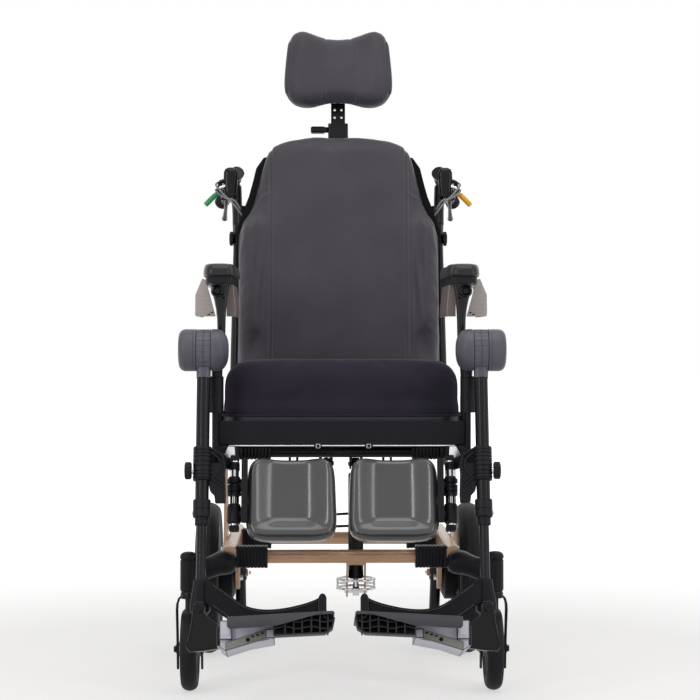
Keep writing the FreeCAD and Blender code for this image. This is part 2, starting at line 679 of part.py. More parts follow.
def spring_lugs():
    """The seat's pins for the two gas springs, each between a pair of lugs."""
    z_mid = (SEAT_RAIL_LOW + SEAT_RAIL_HIGH) / 2
    solids = []
    y, z = TILT_SPRING_HEAD
    tube = along_x(SEAT_CROSS_R, -100, 100, SEAT_FRONT_CROSS_Y, z_mid)
    for x in (TILT_SPRING_X - 12, TILT_SPRING_X + 8):
        outline = [(SEAT_FRONT_CROSS_Y - 2, z_mid + 4), (y - 4, z_mid + 10), (y + 9, z_mid), (y + 9, z - 4)]
        outline += [(y + 5, z - 9), (y - 6, z - 9), (SEAT_FRONT_CROSS_Y - 2, z_mid - 12)]
        lug = sheet_yz(outline, x, x + 4).cut(tube)
        solids.append(lug.cut(along_x(SPRING_PIN_R, x - 1, x + 5, y, z)))
    solids.append(along_x(SPRING_PIN_R, TILT_SPRING_X - 14, TILT_SPRING_X + 14, y, z))
    y, z = RECLINE_SPRING_FOOT
    x = RECLINE_SPRING_X
    bridge = along_x(8.0, -SEAT_RAIL_X, SEAT_RAIL_X, y, z_mid + 3)
    for low in (x - 12, x + 8):
        lug = box(low, low + 4, y - 8, y + 8, z - 9, z_mid + 3)
        solids.append(less(lug, [bridge, along_x(SPRING_PIN_R, low - 1, low + 5, y, z)]))
    solids += [bridge, along_x(SPRING_PIN_R, x - 14, x + 14, y, z)]
    return solids


def seat_top():
    """The seat plate, the board in front of it and the cushion."""
    low = SEAT_RAIL_HIGH
    plate = box(-PLATE_HALF, PLATE_HALF, PLATE_FRONT, PLATE_REAR, low, low + SEAT_PLATE_THICK)
    windows = []
    for y in (130, 250):
        for x in (-120, 20):
            windows.append(softened(box(x, x + 100, y, y + 80, low - 1, low + 5), 12.0, runs_along(2)))
    plate = less(softened(plate, 14.0, runs_along(2)), windows)
    board_low = low + SEAT_PLATE_THICK
    board = box(-BOARD_HALF, BOARD_HALF, -2, -2 + BOARD_THICK, board_low, board_low + BOARD_LONG)
    ledge = box(-PLATE_HALF, PLATE_HALF, 2, PLATE_FRONT, low, low + SEAT_PLATE_THICK)
    board = joined([board, ledge])
    base = box(-PLATE_HALF, PLATE_HALF, CUSHION_FRONT, CUSHION_REAR, board_low + GAP, CUSHION_LOW)
    base = base.cut(box(-300, 300, 0, PLATE_FRONT + GAP, 0, board_low + 2))
    pad = box(-CUSHION_HALF, CUSHION_HALF, CUSHION_FRONT, CUSHION_REAR, CUSHION_LOW, CUSHION_HIGH)
    pad = softened(pad, 22.0, lambda e: e.BoundBox.ZMin > CUSHION_LOW + 1)
    return {"seat_plate": plate, "seat_front_board": board, "seat_cushion": joined([base, pad])}


def armrest(side):
    """The sliding post with the pad's base, the pad, and the guard under it."""
    y0, y1 = POST_Y - POST_DEEP / 2, POST_Y + POST_DEEP / 2
    half_wide = POST_WIDE / 2
    bar_top = ARM_BASE_Z - POST_TOP
    bar = box(POST_X - half_wide, POST_X + half_wide, y0, y1, POST_LOW, bar_top)
    outline = [(POST_X - half_wide, bar_top - 35), (POST_X + half_wide, bar_top - 35), (POST_X + half_wide + 2, bar_top)]
    outline += [(PAD_X + 20, ARM_BASE_Z + 1), (PAD_X - 15, ARM_BASE_Z + 1), (POST_X - half_wide - 2, bar_top)]
    fork = sheet_xz(outline, y0 - 4, y1 + 4)
    knob_z = ARM_BASE_Z - 22
    knob = rod(HAND_KNOB_R, (PAD_X + 1, y0 - 15, knob_z), (PAD_X + 1, y0 - 3, knob_z))
    pad_rear = PAD_FRONT + PAD_LONG
    tray = box(PAD_X - 26, PAD_X + 26, PAD_FRONT + 8, pad_rear - 5, ARM_BASE_Z, ARM_BASE_Z + ARM_BASE_THICK)
    tray = softened(tray, 8.0, runs_along(2))
    post = joined([bar, fork, knob, tray])
    half = PAD_WIDE / 2
    z0 = ARM_BASE_Z + ARM_BASE_THICK
    pad = box(PAD_X - half, PAD_X + half, PAD_FRONT, pad_rear, z0, z0 + PAD_THICK)
    pad = softened(pad, 16.0, runs_along(2))
    pad = softened(pad, 9.0, lambda e: e.BoundBox.ZMin > z0 + PAD_THICK - 1)
    low = ARM_BASE_Z - GUARD_HIGH
    outer = [(PAD_X - 41, low), (PAD_X - 28, ARM_BASE_Z), (PAD_X + 28, ARM_BASE_Z), (PAD_X + 38, low)]
    roof = ARM_BASE_Z - GUARD_WALL
    inner = [(PAD_X - 41 + GUARD_WALL, low - 1), (PAD_X - 26, roof), (PAD_X + 26, roof), (PAD_X + 38 - GUARD_WALL, low - 1)]
    guard = sheet_xz(outer, y1 + 12, pad_rear - 5).cut(sheet_xz(inner, y1 + 10, pad_rear))
    return {
        "armrest_post": on_side(post, side),
        "arm_pad": on_side(pad, side),
        "side_guard": on_side(guard, side),
    }


def knee_hub(side):
    """The fixed halves of the knee joint, its pin, and the pin that hangs the legrest on the seat."""
    radius = HUB_RADIUS
    inner_half = COLLAR_INNER - GAP - HUB_INNER
    dome = turned(
        [(0, 0), (0, radius - 12), (3, radius - 5), (9, radius), (inner_half, radius), (inner_half, 0)],
        HUB_INNER, HUB_Y, HUB_Z,
    )
    cap_long = HUB_OUTER - COLLAR_OUTER - GAP
    cap = turned(
        [(0, 0), (0, radius), (cap_long - 8, radius), (cap_long - 3, radius - 4), (cap_long, radius - 11), (cap_long, 0)],
        COLLAR_OUTER + GAP, HUB_Y, HUB_Z,
    )
    pin = along_x(HUB_PIN_R, COLLAR_INNER - 10, COLLAR_OUTER + 10, HUB_Y, HUB_Z)
    neck = box(SWING_X - 14, COLLAR_INNER - GAP, HUB_Y + 4, 12, 570 + GAP, 604)
    hang = rod(SWING_PIN_R, (SWING_X, 0, 512), (SWING_X, 0, 590))
    return {"knee_hub": on_side(joined([dome, cap, pin, neck, hang]), side)}


def legrest_tube(side):
    """The knee's turning collar and the leg's outer tube, with its lower clamp."""
    radius = HUB_RADIUS - 4.5
    x0, x1 = COLLAR_INNER + GAP / 2, COLLAR_OUTER - GAP / 2
    collar = along_x(radius, x0, x1, HUB_Y, HUB_Z)
    tube = leg_rod(LEG_R, LEG_X, 0, 20, LEG_END)
    clamp = leg_rod(LEG_R + 3.5, LEG_X, 0, LEG_END - 31, LEG_END)
    bore = leg_rod(LEG_BORE, LEG_X, 0, 60, LEG_END + 1)
    hub_bore = along_x(HUB_PIN_R + FIT, x0 - 1, x1 + 1, HUB_Y, HUB_Z)
    leg = less(joined([collar, tube, clamp]), [bore, hub_bore])
    return {"legrest_tube": on_side(leaned_leg(leg), side)}


def calf_bracket(side):
    """The ribbed clamp on the leg, its hand knob, and the arm that ends in the calf pad's post."""
    top, bottom = 176.0, 236.0
    body = leg_rod(LEG_R + 5, LEG_X, 0, top, bottom)
    grooves = []
    for n in range(6):
        start = top + 8 + 8 * n
        grooves.append(leg_rod(LEG_R + 6, LEG_X, 0, start, start + 2, LEG_R + 3.6))
    post_x, back = CALF_POST_X, CALF_POST_BACK
    arm = leg_box(post_x - 9, LEG_X - LEG_R, 0, 12, top + 2, top + 28)
    reach = leg_box(post_x - 9, post_x + 11, 0, back + 9, top + 2, top + 28)
    lower = leg_box(post_x - 9, post_x + 9, back - 4, back + 11, 301.3, 313)
    rail = leg_box(post_x - 9, post_x + 9, back + 13.5, back + 18, top + 2, 313)
    web = leg_box(post_x - 9, post_x + 9, back + 5, back + 15, 301.3, 313)
    post = leg_rod(CALF_POST_R, post_x, back, top + 20, 309)
    heel = leg_box(post_x - 9, post_x + 11, back + 5, back + 18, top + 2, top + 28)
    whole = joined([body, arm, reach, heel, lower, rail, web, post])
    whole = less(whole, grooves + [leg_rod(LEG_R, LEG_X, 0, top - 1, bottom + 1)])
    _, knob_z = leg_point(0, 199)
    knob = along_x(12, LEG_X + LEG_R + 7, LEG_X + LEG_R + 19, HUB_Y, knob_z)
    shank = along_x(4, LEG_X + LEG_R + 5, LEG_X + LEG_R + 8, HUB_Y, knob_z)
    knob = joined([softened(knob, 2.0), shank])
    return {"calf_bracket": group([on_side(leaned_leg(p), side) for p in (whole, knob)])}


def calf_pad(side):
    """The calf pad, hollowed across its front, and the knuckle that turns on the bracket's post."""
    x0, x1 = CALF_INNER, CALF_INNER + CALF_WIDE
    front = CALF_POST_BACK - 12
    pad = leg_box(x0, x1, front, front + CALF_THICK, CALF_TOP, CALF_TOP + CALF_HIGH)
    pad = softened(pad, 26.0, runs_along(1))
    pad = softened(pad, 7.0)
    y, z = leg_point(front - 78, CALF_TOP - 20)
    x_mid = (x0 + x1) / 2
    hollow = rod(92.0, (x_mid, y, z - CALF_HIGH + 8), (x_mid, y, z + 60))
    pad = pad.cut(hollow)
    knuckle_top = 176.0 + 28.3
    knuckle = leg_rod(12.0, CALF_POST_X, CALF_POST_BACK, knuckle_top, 301)
    strap = leg_box(x1 - 12, CALF_POST_X, CALF_POST_BACK - 5, CALF_POST_BACK + 5, 225, 290)
    bore = leg_rod(CALF_POST_R + FIT, CALF_POST_X, CALF_POST_BACK, 170, 320)
    whole = joined([pad, knuckle, strap]).cut(bore)
    return {"calf_pad": on_side(leaned_leg(whole), side)}


def footplate_tube(side):
    """The indexed inner tube and the moulded end that carries the footplate's pin."""
    tube = leg_rod(INNER_TUBE_R, LEG_X, 0, INNER_TUBE_START, INNER_TUBE_END, INNER_TUBE_R - TUBE_WALL)
    holes = []
    for n in range(INDEX_HOLES):
        _, z = leg_point(0, 316 + n * INDEX_PITCH)
        holes.append(rod(2.5, (LEG_X, HUB_Y - 20, z), (LEG_X, HUB_Y, z)))
    tube = less(tube, holes)
    outline = [(235, 413), (259, 413), (264, 440), (264, 462), (256, 472), (240, 472), (229, 462), (231, 436)]
    points = [(x, HUB_Z - down) for x, down in outline]
    block = sheet_xz(points, HUB_Y - 14, HUB_Y + 12)
    block = softened(block, 3.0, runs_along(1))
    y, z = leg_point(0, FLIP_DOWN)
    pin = rod(FLIP_PIN_R, (FLIP_X, y - 12, z), (FLIP_X, y + PLATE_LINE - 13, z))
    washer = rod(9.0, (FLIP_X, y - 13, z), (FLIP_X, y + PLATE_LINE + GAP, z))
    head = rod(8.0, (FLIP_X, y + PLATE_LINE - 16, z), (FLIP_X, y + PLATE_LINE - 12 - GAP, z))
    block = joined([block, pin, washer, head])
    block = block.cut(leg_rod(INNER_TUBE_R, LEG_X, 0, 400, INNER_TUBE_END))
    return {"footplate_tube": group([on_side(leaned_leg(p), side) for p in (tube, block)])}


def plate_ribs(x0, x1, y0, y1, low0, low1, high0, high1):
    """The ribs under the footplate: crossing walls that follow its slope."""
    ribs = []
    for n in range(4):
        y = y0 + 8 + n * (y1 - y0 - 20) / 3
        ribs.append(sheet_xz([(x0, low0), (x1, low1), (x1, high1), (x0, high0)], y, y + 4))
    for n in range(4):
        share = (n + 0.3) / 4
        x = x0 + share * (x1 - x0)
        low = low0 + share * (low1 - low0)
        high = high0 + share * (high1 - high0)
        ribs.append(box(x, x + 4, y0 + 8, y1 - 8, low, high))
    return ribs


def footplate(side):
    """The moulded arm on its pin, the cast bearer and the ribbed plate, and the strap behind the heel."""
    y_hub, z_pin = leg_point(0, FLIP_DOWN)
    rear = y_hub + PLATE_LINE
    outline = [(236, 452), (246, 450), (258, 452), (261, 466), (268, 505), (263, 522), (232, 526), (212, 520)]
    outline += [(212, 486), (226, 480)]
    arm = sheet_xz([(x, HUB_Z - down) for x, down in outline], rear - 12, rear)
    arm = softened(arm, 3.0, runs_along(1))
    arm = arm.cut(rod(FLIP_PIN_R + FIT, (FLIP_X, rear - 20, z_pin), (FLIP_X, rear + 5, z_pin)))
    top_outer = HUB_Z - PLATE_DROP

    def top(x):
        return top_outer + (PLATE_OUTER - x) * PLATE_SLOPE

    front = rear - PLATE_DEEP
    split = 128.0
    bearer = sheet_xz(
        [(214, top(214) - 2), (split, top(split) - 7), (split, top(split) - 24), (214, top(214) - 38)],
        rear - 110, rear - 6,
    )
    pocket = sheet_xz(
        [(206, top(206) - 9), (split + 6, top(split + 6) - 11), (split + 6, top(split + 6) - 20), (206, top(206) - 30)],
        rear - 98, rear - 20,
    )
    bearer = bearer.cut(pocket)
    skin = sheet_xz(
        [(PLATE_OUTER, top(PLATE_OUTER)), (PLATE_INNER, top(PLATE_INNER)), (PLATE_INNER, top(PLATE_INNER) - 6),
         (PLATE_OUTER, top(PLATE_OUTER) - 6)],
        front, rear,
    )
    x_rib0, x_rib1 = split - 1, PLATE_INNER + 2
    ribs = plate_ribs(
        x_rib1, x_rib0, front, rear, top(x_rib1) - 26, top(x_rib0) - 24, top(x_rib1) - 5, top(x_rib0) - 5
    )
    skin = joined([skin] + ribs)
    skin = skin.cut(bearer).cut(pocket)
    post = box(PLATE_INNER + 6, PLATE_INNER + 22, rear - 7, rear - 3, top(PLATE_INNER) - 2, top(PLATE_INNER) + 34)
    skin = joined([skin, post])
    strap_line = [(231, 404), (214, 424), (190, 446), (160, 456), (120, 458), (84, 455), (56, 446), (26, 428)]
    upper = [(x, HUB_Z - down) for x, down in strap_line]
    lower = [(x, max(z - 44, top(x) - 6)) for x, z in upper]
    strap = sheet_xz(upper + lower[::-1], rear - 2.4, rear - 0.6)
    skin = skin.cut(box(0, 300, rear - 2.8, rear + 5, 0, 500))
    pieces = [arm, bearer, skin]
    bridge = box(210, 216, rear - 60, rear - 6, top(214) - 36, top(214) - 4)
    pieces[0] = joined([arm, bridge]).cut(bearer)
    return {
        "footplate": group([on_side(leaned_leg(p), side) for p in pieces]),
        "heel_strap": on_side(leaned_leg(strap), side),
    }


def back_frame():
    """Canes, cross tubes, hinge plates, the recline lever and the headrest's clamp."""
    solids = []
    x_plate = SEAT_RAIL_X + SEAT_RAIL_WIDE + 1 + GAP
    for side in (RIGHT, LEFT):
        start = (CANE_X, RECLINE_Y, RECLINE_Z + CANE_START)
        end = (CANE_X, RECLINE_Y, RECLINE_Z + CANE_END)
        cane = rod(CANE_R, start, end)
        clamp = rod(CANE_R + 3, (CANE_X, RECLINE_Y, RECLINE_Z + CANE_END - 36), end)
        hinge = back_box(x_plate, x_plate + 5.6, -15, 15, -14, CANE_START + 30)
        hinge = softened(hinge, 6.0, runs_along(0))
        bore = rod(CANE_BORE, (CANE_X, RECLINE_Y, RECLINE_Z + CANE_START + 60), (CANE_X, RECLINE_Y, RECLINE_Z + 500))
        pin_hole = along_x(RECLINE_PIN_R + FIT, x_plate - 5, x_plate + 12, RECLINE_Y, RECLINE_Z)
        whole = less(joined([cane, clamp, hinge]), [bore, pin_hole])
        solids.append(on_side(leaned_back(whole), side))
        knob_z = RECLINE_Z + CANE_END - 66
        knob = along_x(14, CANE_X + CANE_R + 4, CANE_X + CANE_R + 15, RECLINE_Y, knob_z)
        shank = along_x(4, CANE_X + CANE_R - 1, CANE_X + CANE_R + 5, RECLINE_Y, knob_z)
        shank = shank.cut(rod(CANE_R, start, end))
        solids.append(on_side(leaned_back(joined([softened(knob, 2.5), shank])), side))
    low_z, high_z = RECLINE_Z - 30, RECLINE_Z + CANE_END + 188
    canes = [rod(CANE_R, (s * CANE_X, RECLINE_Y, low_z), (s * CANE_X, RECLINE_Y, high_z)) for s in (RIGHT, LEFT)]
    low_bar = along_x(BACK_CROSS_R, -CANE_X, CANE_X, RECLINE_Y, RECLINE_Z + LOW_CROSS)
    solids.append(leaned_back(less(low_bar, canes)))
    arch_z = RECLINE_Z + CANE_END - 120
    arch = bent_bar(
        [(-CANE_X + 4, RECLINE_Y, arch_z), (-CANE_X + 64, RECLINE_Y, RECLINE_Z + HIGH_CROSS),
         (CANE_X - 64, RECLINE_Y, RECLINE_Z + HIGH_CROSS), (CANE_X - 4, RECLINE_Y, arch_z)],
        7.0, 30.0,
    )
    solids.append(leaned_back(less(arch, canes)))
    back = HEAD_POST_BACK
    half_wide, half_thick = HEAD_POST_WIDE / 2, HEAD_POST_THICK / 2
    holder = back_box(-half_wide - 6, half_wide + 6, -8, 12, HIGH_CROSS - 20, HEAD_CLAMP + 22)
    holder = softened(holder, 4.0, runs_along(2))
    slot = back_box(
        -half_wide - GAP, half_wide + GAP, back - half_thick - GAP, back + half_thick + GAP, 300, HEAD_CLAMP + 30
    )
    straight = along_x(7.0, -CANE_X + 90, CANE_X - 90, RECLINE_Y, RECLINE_Z + HIGH_CROSS)
    lever = along_x(6.0, -half_wide - 36, -half_wide - 6, RECLINE_Y, RECLINE_Z + HEAD_CLAMP + 10)
    grip = softened(back_box(-half_wide - 42, -half_wide - 12, -6, 10, HEAD_CLAMP + 3, HEAD_CLAMP + 17), 4.0)
    holder = joined([less(holder, [slot, straight]), lever, grip])
    solids.append(leaned_back(holder))
    solids[-2] = solids[-2].cut(leaned_back(slot))
    y, z = RECLINE_SPRING_HEAD
    bar_y, bar_z = leaned_point(0, LOW_CROSS)
    for low in (RECLINE_SPRING_X - 13, RECLINE_SPRING_X + 8):
        outline = [(y - 9, z + 4), (y - 5, z - 8), (y + 7, z - 8), (bar_y + 9, bar_z + 2), (bar_y - 9, bar_z + 6)]
        plate = sheet_yz(outline, low, low + 5)
        around = along_x(BACK_CROSS_R, low - 1, low + 6, bar_y, bar_z)
        solids.append(less(plate, [around, along_x(SPRING_PIN_R, low - 1, low + 6, y, z)]))
    solids.append(along_x(SPRING_PIN_R, RECLINE_SPRING_X - 14, RECLINE_SPRING_X + 14, y, z))
    return {"back_frame": group(solids)}


def leaned_point(back, height):
    """The (y, z) of a point of the back, after the back's lean."""
    angle = math.radians(BACK_LEAN)
    y = RECLINE_Y + back * math.cos(angle) + height * math.sin(angle)
    z = RECLINE_Z - back * math.sin(angle) + height * math.cos(angle)
    return y, z


def back_soft():
    """The panel between the canes and the cushion with its two side wings."""
    shoulder, crest = CANE_END - 67, HIGH_CROSS + 15
    edge = [(CANE_X, 110), (CANE_X, shoulder), (165, crest)]
    full = edge + [(-x, h) for x, h in edge[::-1]]
    front = RECLINE_Y + PANEL_FRONT
    panel = sheet_xz([(x, RECLINE_Z + h) for x, h in full], front, front + PANEL_THICK)
    half = BACK_PAD_HALF
    top = BACK_PAD_HIGH
    outline = [(half, BACK_PAD_LOW), (half, 440), (180, 512), (168, 560), (138, 608), (92, top)]
    full = outline + [(-x, h) for x, h in outline[::-1]]
    y0 = RECLINE_Y + BACK_PAD_FRONT
    y1 = y0 + BACK_PAD_THICK
    pad = sheet_xz([(x, RECLINE_Z + h) for x, h in full], y0, y1)
    pad = softened(pad, 14.0, lambda e: e.BoundBox.YMax < y0 + 1)
    wing = [(half, 186), (half, 400), (half - 22, 430), (half - 34, 380), (half - 34, 196)]
    wings = []
    for side in (RIGHT, LEFT):
        lobe = sheet_xz([(x, RECLINE_Z + h) for x, h in wing], y0 - 26, y0 + 16)
        wings.append(on_side(lobe, side))
    return {"back_panel": leaned_back(panel), "back_cushion": leaned_back(joined([pad] + wings))}


def handle_route():
    """The push handle's bend and its grip's end, on the upright back, as (x, y, z) points."""
    top = (CANE_X, RECLINE_Y, RECLINE_Z + HANDLE_TOP)
    end = (CANE_X + 44.0, RECLINE_Y + 130.0, RECLINE_Z + HANDLE_TOP - 82.0)
    return top, end


def push_handle(side):
    """The bent handle tube, its grip, and the housing that the levers turn in."""
    top, end = handle_route()
    foot = (CANE_X, RECLINE_Y, RECLINE_Z + 320.0)
    tube = bent_bar([foot, top, end], HANDLE_R, HANDLE_BEND)
    a, b = V(*top), V(*end)
    way = (b - a).normalize()
    grip_start = b - way * (GRIP_LONG - 4)
    sleeve = softened(Part.makeCylinder(GRIP_R, GRIP_LONG, grip_start, way), 5.0)
    inside = Part.makeCylinder(HANDLE_R, GRIP_LONG - 4, grip_start, way)
    sleeve = sleeve.cut(inside)
    clamp_at = a + way * 32
    housing = box(CANE_X + 3, CANE_X + 46, clamp_at.y - 26, clamp_at.y - 4, clamp_at.z - 38, clamp_at.z + 12)
    housing = softened(housing, 7.0)
    hold = Part.makeCylinder(HANDLE_R + 4, 16, a + way * 20, way)
    housing = joined([housing, hold]).cut(tube)
    pivots = lever_pivots()
    x, y, z = pivots["control"]
    housing = housing.cut(box(x - 8, x + 40, y - 5 - GAP, y + 5 + GAP, z - 30, z + 7))
    control_pin = rod(3.0, (x, y - 8, z), (x, y + 8, z))
    x, y, z = pivots["brake"]
    half = LEVER_EYE / 2 + GAP
    ears = [box(low, low + 4, y - 6, y + 6, z - 6, z + 14) for low in (x - half - 4, x + half)]
    brake_pin = along_x(3.0, x - half - 4, x + half + 4, y, z)
    housing = joined([housing.cut(along_x(8.0, x - half, x + half, y, z)), control_pin, brake_pin] + ears)
    pieces = [tube, sleeve, housing]
    return {"push_handle": group([on_side(leaned_back(p), side) for p in pieces])}


def lever_pivots():
    """Where the brake lever and the control lever turn, on the upright back."""
    top, end = handle_route()
    a, b = V(*top), V(*end)
    way = (b - a).normalize()
    clamp_at = a + way * 32
    return {
        "brake": (CANE_X + 20.0, clamp_at.y - 15.0, clamp_at.z - 51.0),
        "control": (CANE_X + 38.0, clamp_at.y - 15.0, clamp_at.z - 22.0),
    }


def levers():
    """The two brake levers under the grips, and the coloured levers of tilt and recline."""
    pivots = lever_pivots()
    x, y, z = pivots["brake"]
    top, end = handle_route()
    way = (V(*end) - V(*top)).normalize()
    eye = along_x(6.5, x - LEVER_EYE / 2, x + LEVER_EYE / 2, y, z)
    start = V(x, y, z)
    tip = start + way * 105 + V(0, 0, -6)
    blade = Part.makeCylinder(4.0, (tip - start).Length, start, tip - start)
    ball = Part.makeSphere(6.0, tip)
    brake = joined([eye, blade, ball]).cut(along_x(3.0 + FIT, x - 10, x + 10, y, z))
    cx, cy, cz = pivots["control"]
    hub = rod(6.0, (cx, cy - 5, cz), (cx, cy + 5, cz))
    arm = rod(4.0, (cx, cy, cz), (cx + 20, cy, cz - 10))
    finger = rod(5.0, (cx + 18, cy, cz - 9), (cx + 40, cy, cz - 22))
    control = joined([hub, arm, finger]).cut(rod(3.0 + FIT, (cx, cy - 10, cz), (cx, cy + 10, cz)))
    return {
        "brake_lever_right": leaned_back(brake),
        "brake_lever_left": on_side(leaned_back(brake), LEFT),
        "recline_lever": leaned_back(control),
        "tilt_lever": on_side(leaned_back(control), LEFT),
    }


def headrest():
    """The indexed post and the two-lobed pad on its pin."""
    back = HEAD_POST_BACK
    half_wide, half_thick = HEAD_POST_WIDE / 2, HEAD_POST_THICK / 2
    bar = back_box(-half_wide, half_wide, back - half_thick, back + half_thick, 470, HEAD_PIVOT - 14)
    holes = []
    for n in range(9):
        z = RECLINE_Z + HEAD_CLAMP - 60 + n * 16
        for x in (-7, 7):
            holes.append(rod(2.5, (x, RECLINE_Y - 10, z), (x, RECLINE_Y + 20, z)))
    bar = less(bar, holes)
    pivot_y, pivot_z = RECLINE_Y - 12, RECLINE_Z + HEAD_PIVOT
    neck = box(-9, 9, pivot_y - 4, RECLINE_Y + back + half_thick, pivot_z - 26, pivot_z - 8)
    web = box(-9, 9, pivot_y - 7, pivot_y + 7, pivot_z - 20, pivot_z)
    eye = along_x(9, -9, 9, pivot_y, pivot_z)
    post = joined([bar, neck, web, eye]).cut(along_x(HEAD_PIN_R + FIT, -20, 20, pivot_y, pivot_z))
    half = HEAD_WIDE / 2
    mid = HEAD_PIVOT
    y0 = pivot_y - 14 - HEAD_THICK
    outline = [(0, 70), (28, 73), (60, 80), (84, 78), (102, 64), (half, 24), (half - 2, -16), (half - 10, -48)]
    outline += [(half - 28, -72), (half - 50, -80), (48, -76), (20, -71)]
    full = outline + [(-x, h) for x, h in outline[:0:-1]]
    pad = sheet_xz([(x, RECLINE_Z + mid + h) for x, h in full], y0, y0 + HEAD_THICK)
    pad = softened(pad, 14.0, lambda e: e.BoundBox.YMax - e.BoundBox.YMin < 1)
    scoop = rod(150.0, (0, y0 - 134, pivot_z - 100), (0, y0 - 134, pivot_z + 100))
    pad = pad.cut(scoop)
    ears = [box(x, x + 5, y0 + HEAD_THICK - 4, pivot_y + 8, pivot_z - 8, pivot_z + 8) for x in (-14.3, 9.3)]
    pin = along_x(HEAD_PIN_R, -14.3, 14.3, pivot_y, pivot_z)
    pad = joined([pad] + ears + [pin])
    return {"headrest_post": leaned_back(post), "headrest_pad": leaned_back(pad)}


def control_cables():
    """Two release cables that hang in loops under the seat, each clipped at both ends."""
    clip_z = SEAT_RAIL_LOW + 14
    y = 224.0
    loops = []
    for n, (half, depth, back) in enumerate(((66.0, 150.0, 0.0), (52.0, 128.0, 14.0))):
        low = clip_z - depth
        yy = y + back
        points = [(-half - 30, yy, clip_z), (-half - 30, yy, clip_z - 40), (-half, yy, low + 26), (-half + 40, yy, low)]
        points += [(half - 30, yy, low + 2), (half, yy, low + 30), (half + 30, yy, clip_z - 44), (half + 30, yy, clip_z)]
        loops.append(bent_bar(points, 2.5, 14.0))
    clips = []
    for x in (-96, 96, -82, 82):
        back = 0 if abs(x) == 96 else 14
        clip = box(x - 6, x + 6, y + back - 6, y + back + 6, clip_z, SEAT_RAIL_HIGH)
        clips.append(clip)
    return {"control_cables": group(loops + clips)}


def build():
    """Every node of the chair, by name, before it is centred."""
    nodes = {}
    for side, name in ((LEFT, "left"), (RIGHT, "right")):
        for make in (
            side_frame, caster_housing, caster, rear_wheel, armrest, knee_hub, legrest_tube, calf_bracket,
            calf_pad, footplate_tube, footplate, push_handle,
        ):
            nodes.update({f"{key}_{name}": shape for key, shape in make(side).items()})
    for make in (
        cross_tubes, cross_tube_clamps, drum_brakes, anti_tippers, base_fasteners, spring_clevis, tilt_spring,
        recline_spring, seat_frame, seat_top, back_frame, back_soft, levers, headrest, control_cables,
    ):
        nodes.update(make())
    return nodes


def middle_of(nodes):
    """The centre of the chair's overall box, seen from above."""
    lows, highs = [], []
    for shape in nodes.values():
        tight = shape.optimalBoundingBox(False, False)
        lows.append((tight.XMin, tight.YMin))
        highs.append((tight.XMax, tight.YMax))
    x = (min(p[0] for p in lows) + max(p[0] for p in highs)) / 2
    y = (min(p[1] for p in lows) + max(p[1] for p in highs)) / 2
    return x, y


def main():
    """Builds the chair, centres it and writes one file for each node."""
    os.makedirs("parts", exist_ok=True)
    nodes = build()
    x, y = middle_of(nodes)
    for name, shape in nodes.items():
        shape.translate(V(-x, -y, 0))
        shape.exportStep(f"parts/{name}.step")
    print(len(nodes), "nodes; centred by", round(x, 4), round(y, 4))
    return nodes, (x, y)


NODES, CENTRE = main()
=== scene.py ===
"""Dresses a tilt-in-space wheelchair: finishes, upholstery, moulded covers, fasteners and a plain studio."""

import json
import logging
import math
from collections.abc import Callable, Sequence
from dataclasses import dataclass
from enum import Enum

import bmesh
import bpy
import numpy as np
from bpy.types import Material, Mesh, NodeSocket, Object
from mathutils import Matrix, Vector
from mathutils.bvhtree import BVHTree


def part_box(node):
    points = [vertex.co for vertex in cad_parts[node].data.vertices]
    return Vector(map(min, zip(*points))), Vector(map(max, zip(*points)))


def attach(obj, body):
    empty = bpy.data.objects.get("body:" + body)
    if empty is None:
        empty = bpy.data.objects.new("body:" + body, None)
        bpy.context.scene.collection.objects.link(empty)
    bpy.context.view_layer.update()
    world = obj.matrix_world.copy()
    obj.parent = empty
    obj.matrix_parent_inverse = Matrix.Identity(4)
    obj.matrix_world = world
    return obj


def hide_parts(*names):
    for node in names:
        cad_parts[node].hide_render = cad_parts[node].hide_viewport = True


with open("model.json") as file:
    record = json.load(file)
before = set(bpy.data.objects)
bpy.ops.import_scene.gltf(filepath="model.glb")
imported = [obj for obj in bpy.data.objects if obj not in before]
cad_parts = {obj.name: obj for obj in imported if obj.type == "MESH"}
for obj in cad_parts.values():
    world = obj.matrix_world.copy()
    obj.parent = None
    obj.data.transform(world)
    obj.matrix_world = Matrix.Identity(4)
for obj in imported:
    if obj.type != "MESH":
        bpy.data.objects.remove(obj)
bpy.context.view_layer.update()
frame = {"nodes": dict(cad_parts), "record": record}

MM = 0.001
LOG = logging.getLogger("wheelchair")
Point = Sequence[float]

X_AXIS, Y_AXIS, Z_AXIS = (1, 0, 0), (0, 1, 0), (0, 0, 1)
# Edges that turn by more degrees than this stay crisp: on hard pieces, on turned and moulded ones, and on padded ones
CRISP, TURNED, PADDED = 38.0, 50.0, 60.0


class Side(Enum):
    """The two sides of the chair, as seen by somebody standing in front of it."""

    LEFT = -1
    RIGHT = 1

    @property
    def label(self) -> str:
        """The word that node and body names end in."""
        return self.name.lower()


class Axis(Enum):
    """The axis that a flat outline is pushed along, with the two axes that the outline lies on."""

    X = (0, 1, 2)
    Y = (1, 0, 2)
    Z = (2, 0, 1)


# Colour and node helpers


def linear(hex_colour: str, alpha: float = 1.0) -> tuple[float, float, float, float]:
    """Turns an sRGB hex colour into linear light.

    Args:
        hex_colour: six hex digits after a hash.
        alpha: the fourth value of the result.

    Returns:
        Red, green, blue and alpha.
    """
    values = [int(hex_colour[n:n + 2], 16) / 255 for n in (1, 3, 5)]
    red, green, blue = [v / 12.92 if v <= 0.04045 else ((v + 0.055) / 1.055) ** 2.4 for v in values]
    return red, green, blue, alpha


def per_metre(millimetres: float) -> float:
    """The texture scale that gives features of this real size."""
    return 1.0 / (millimetres * MM)


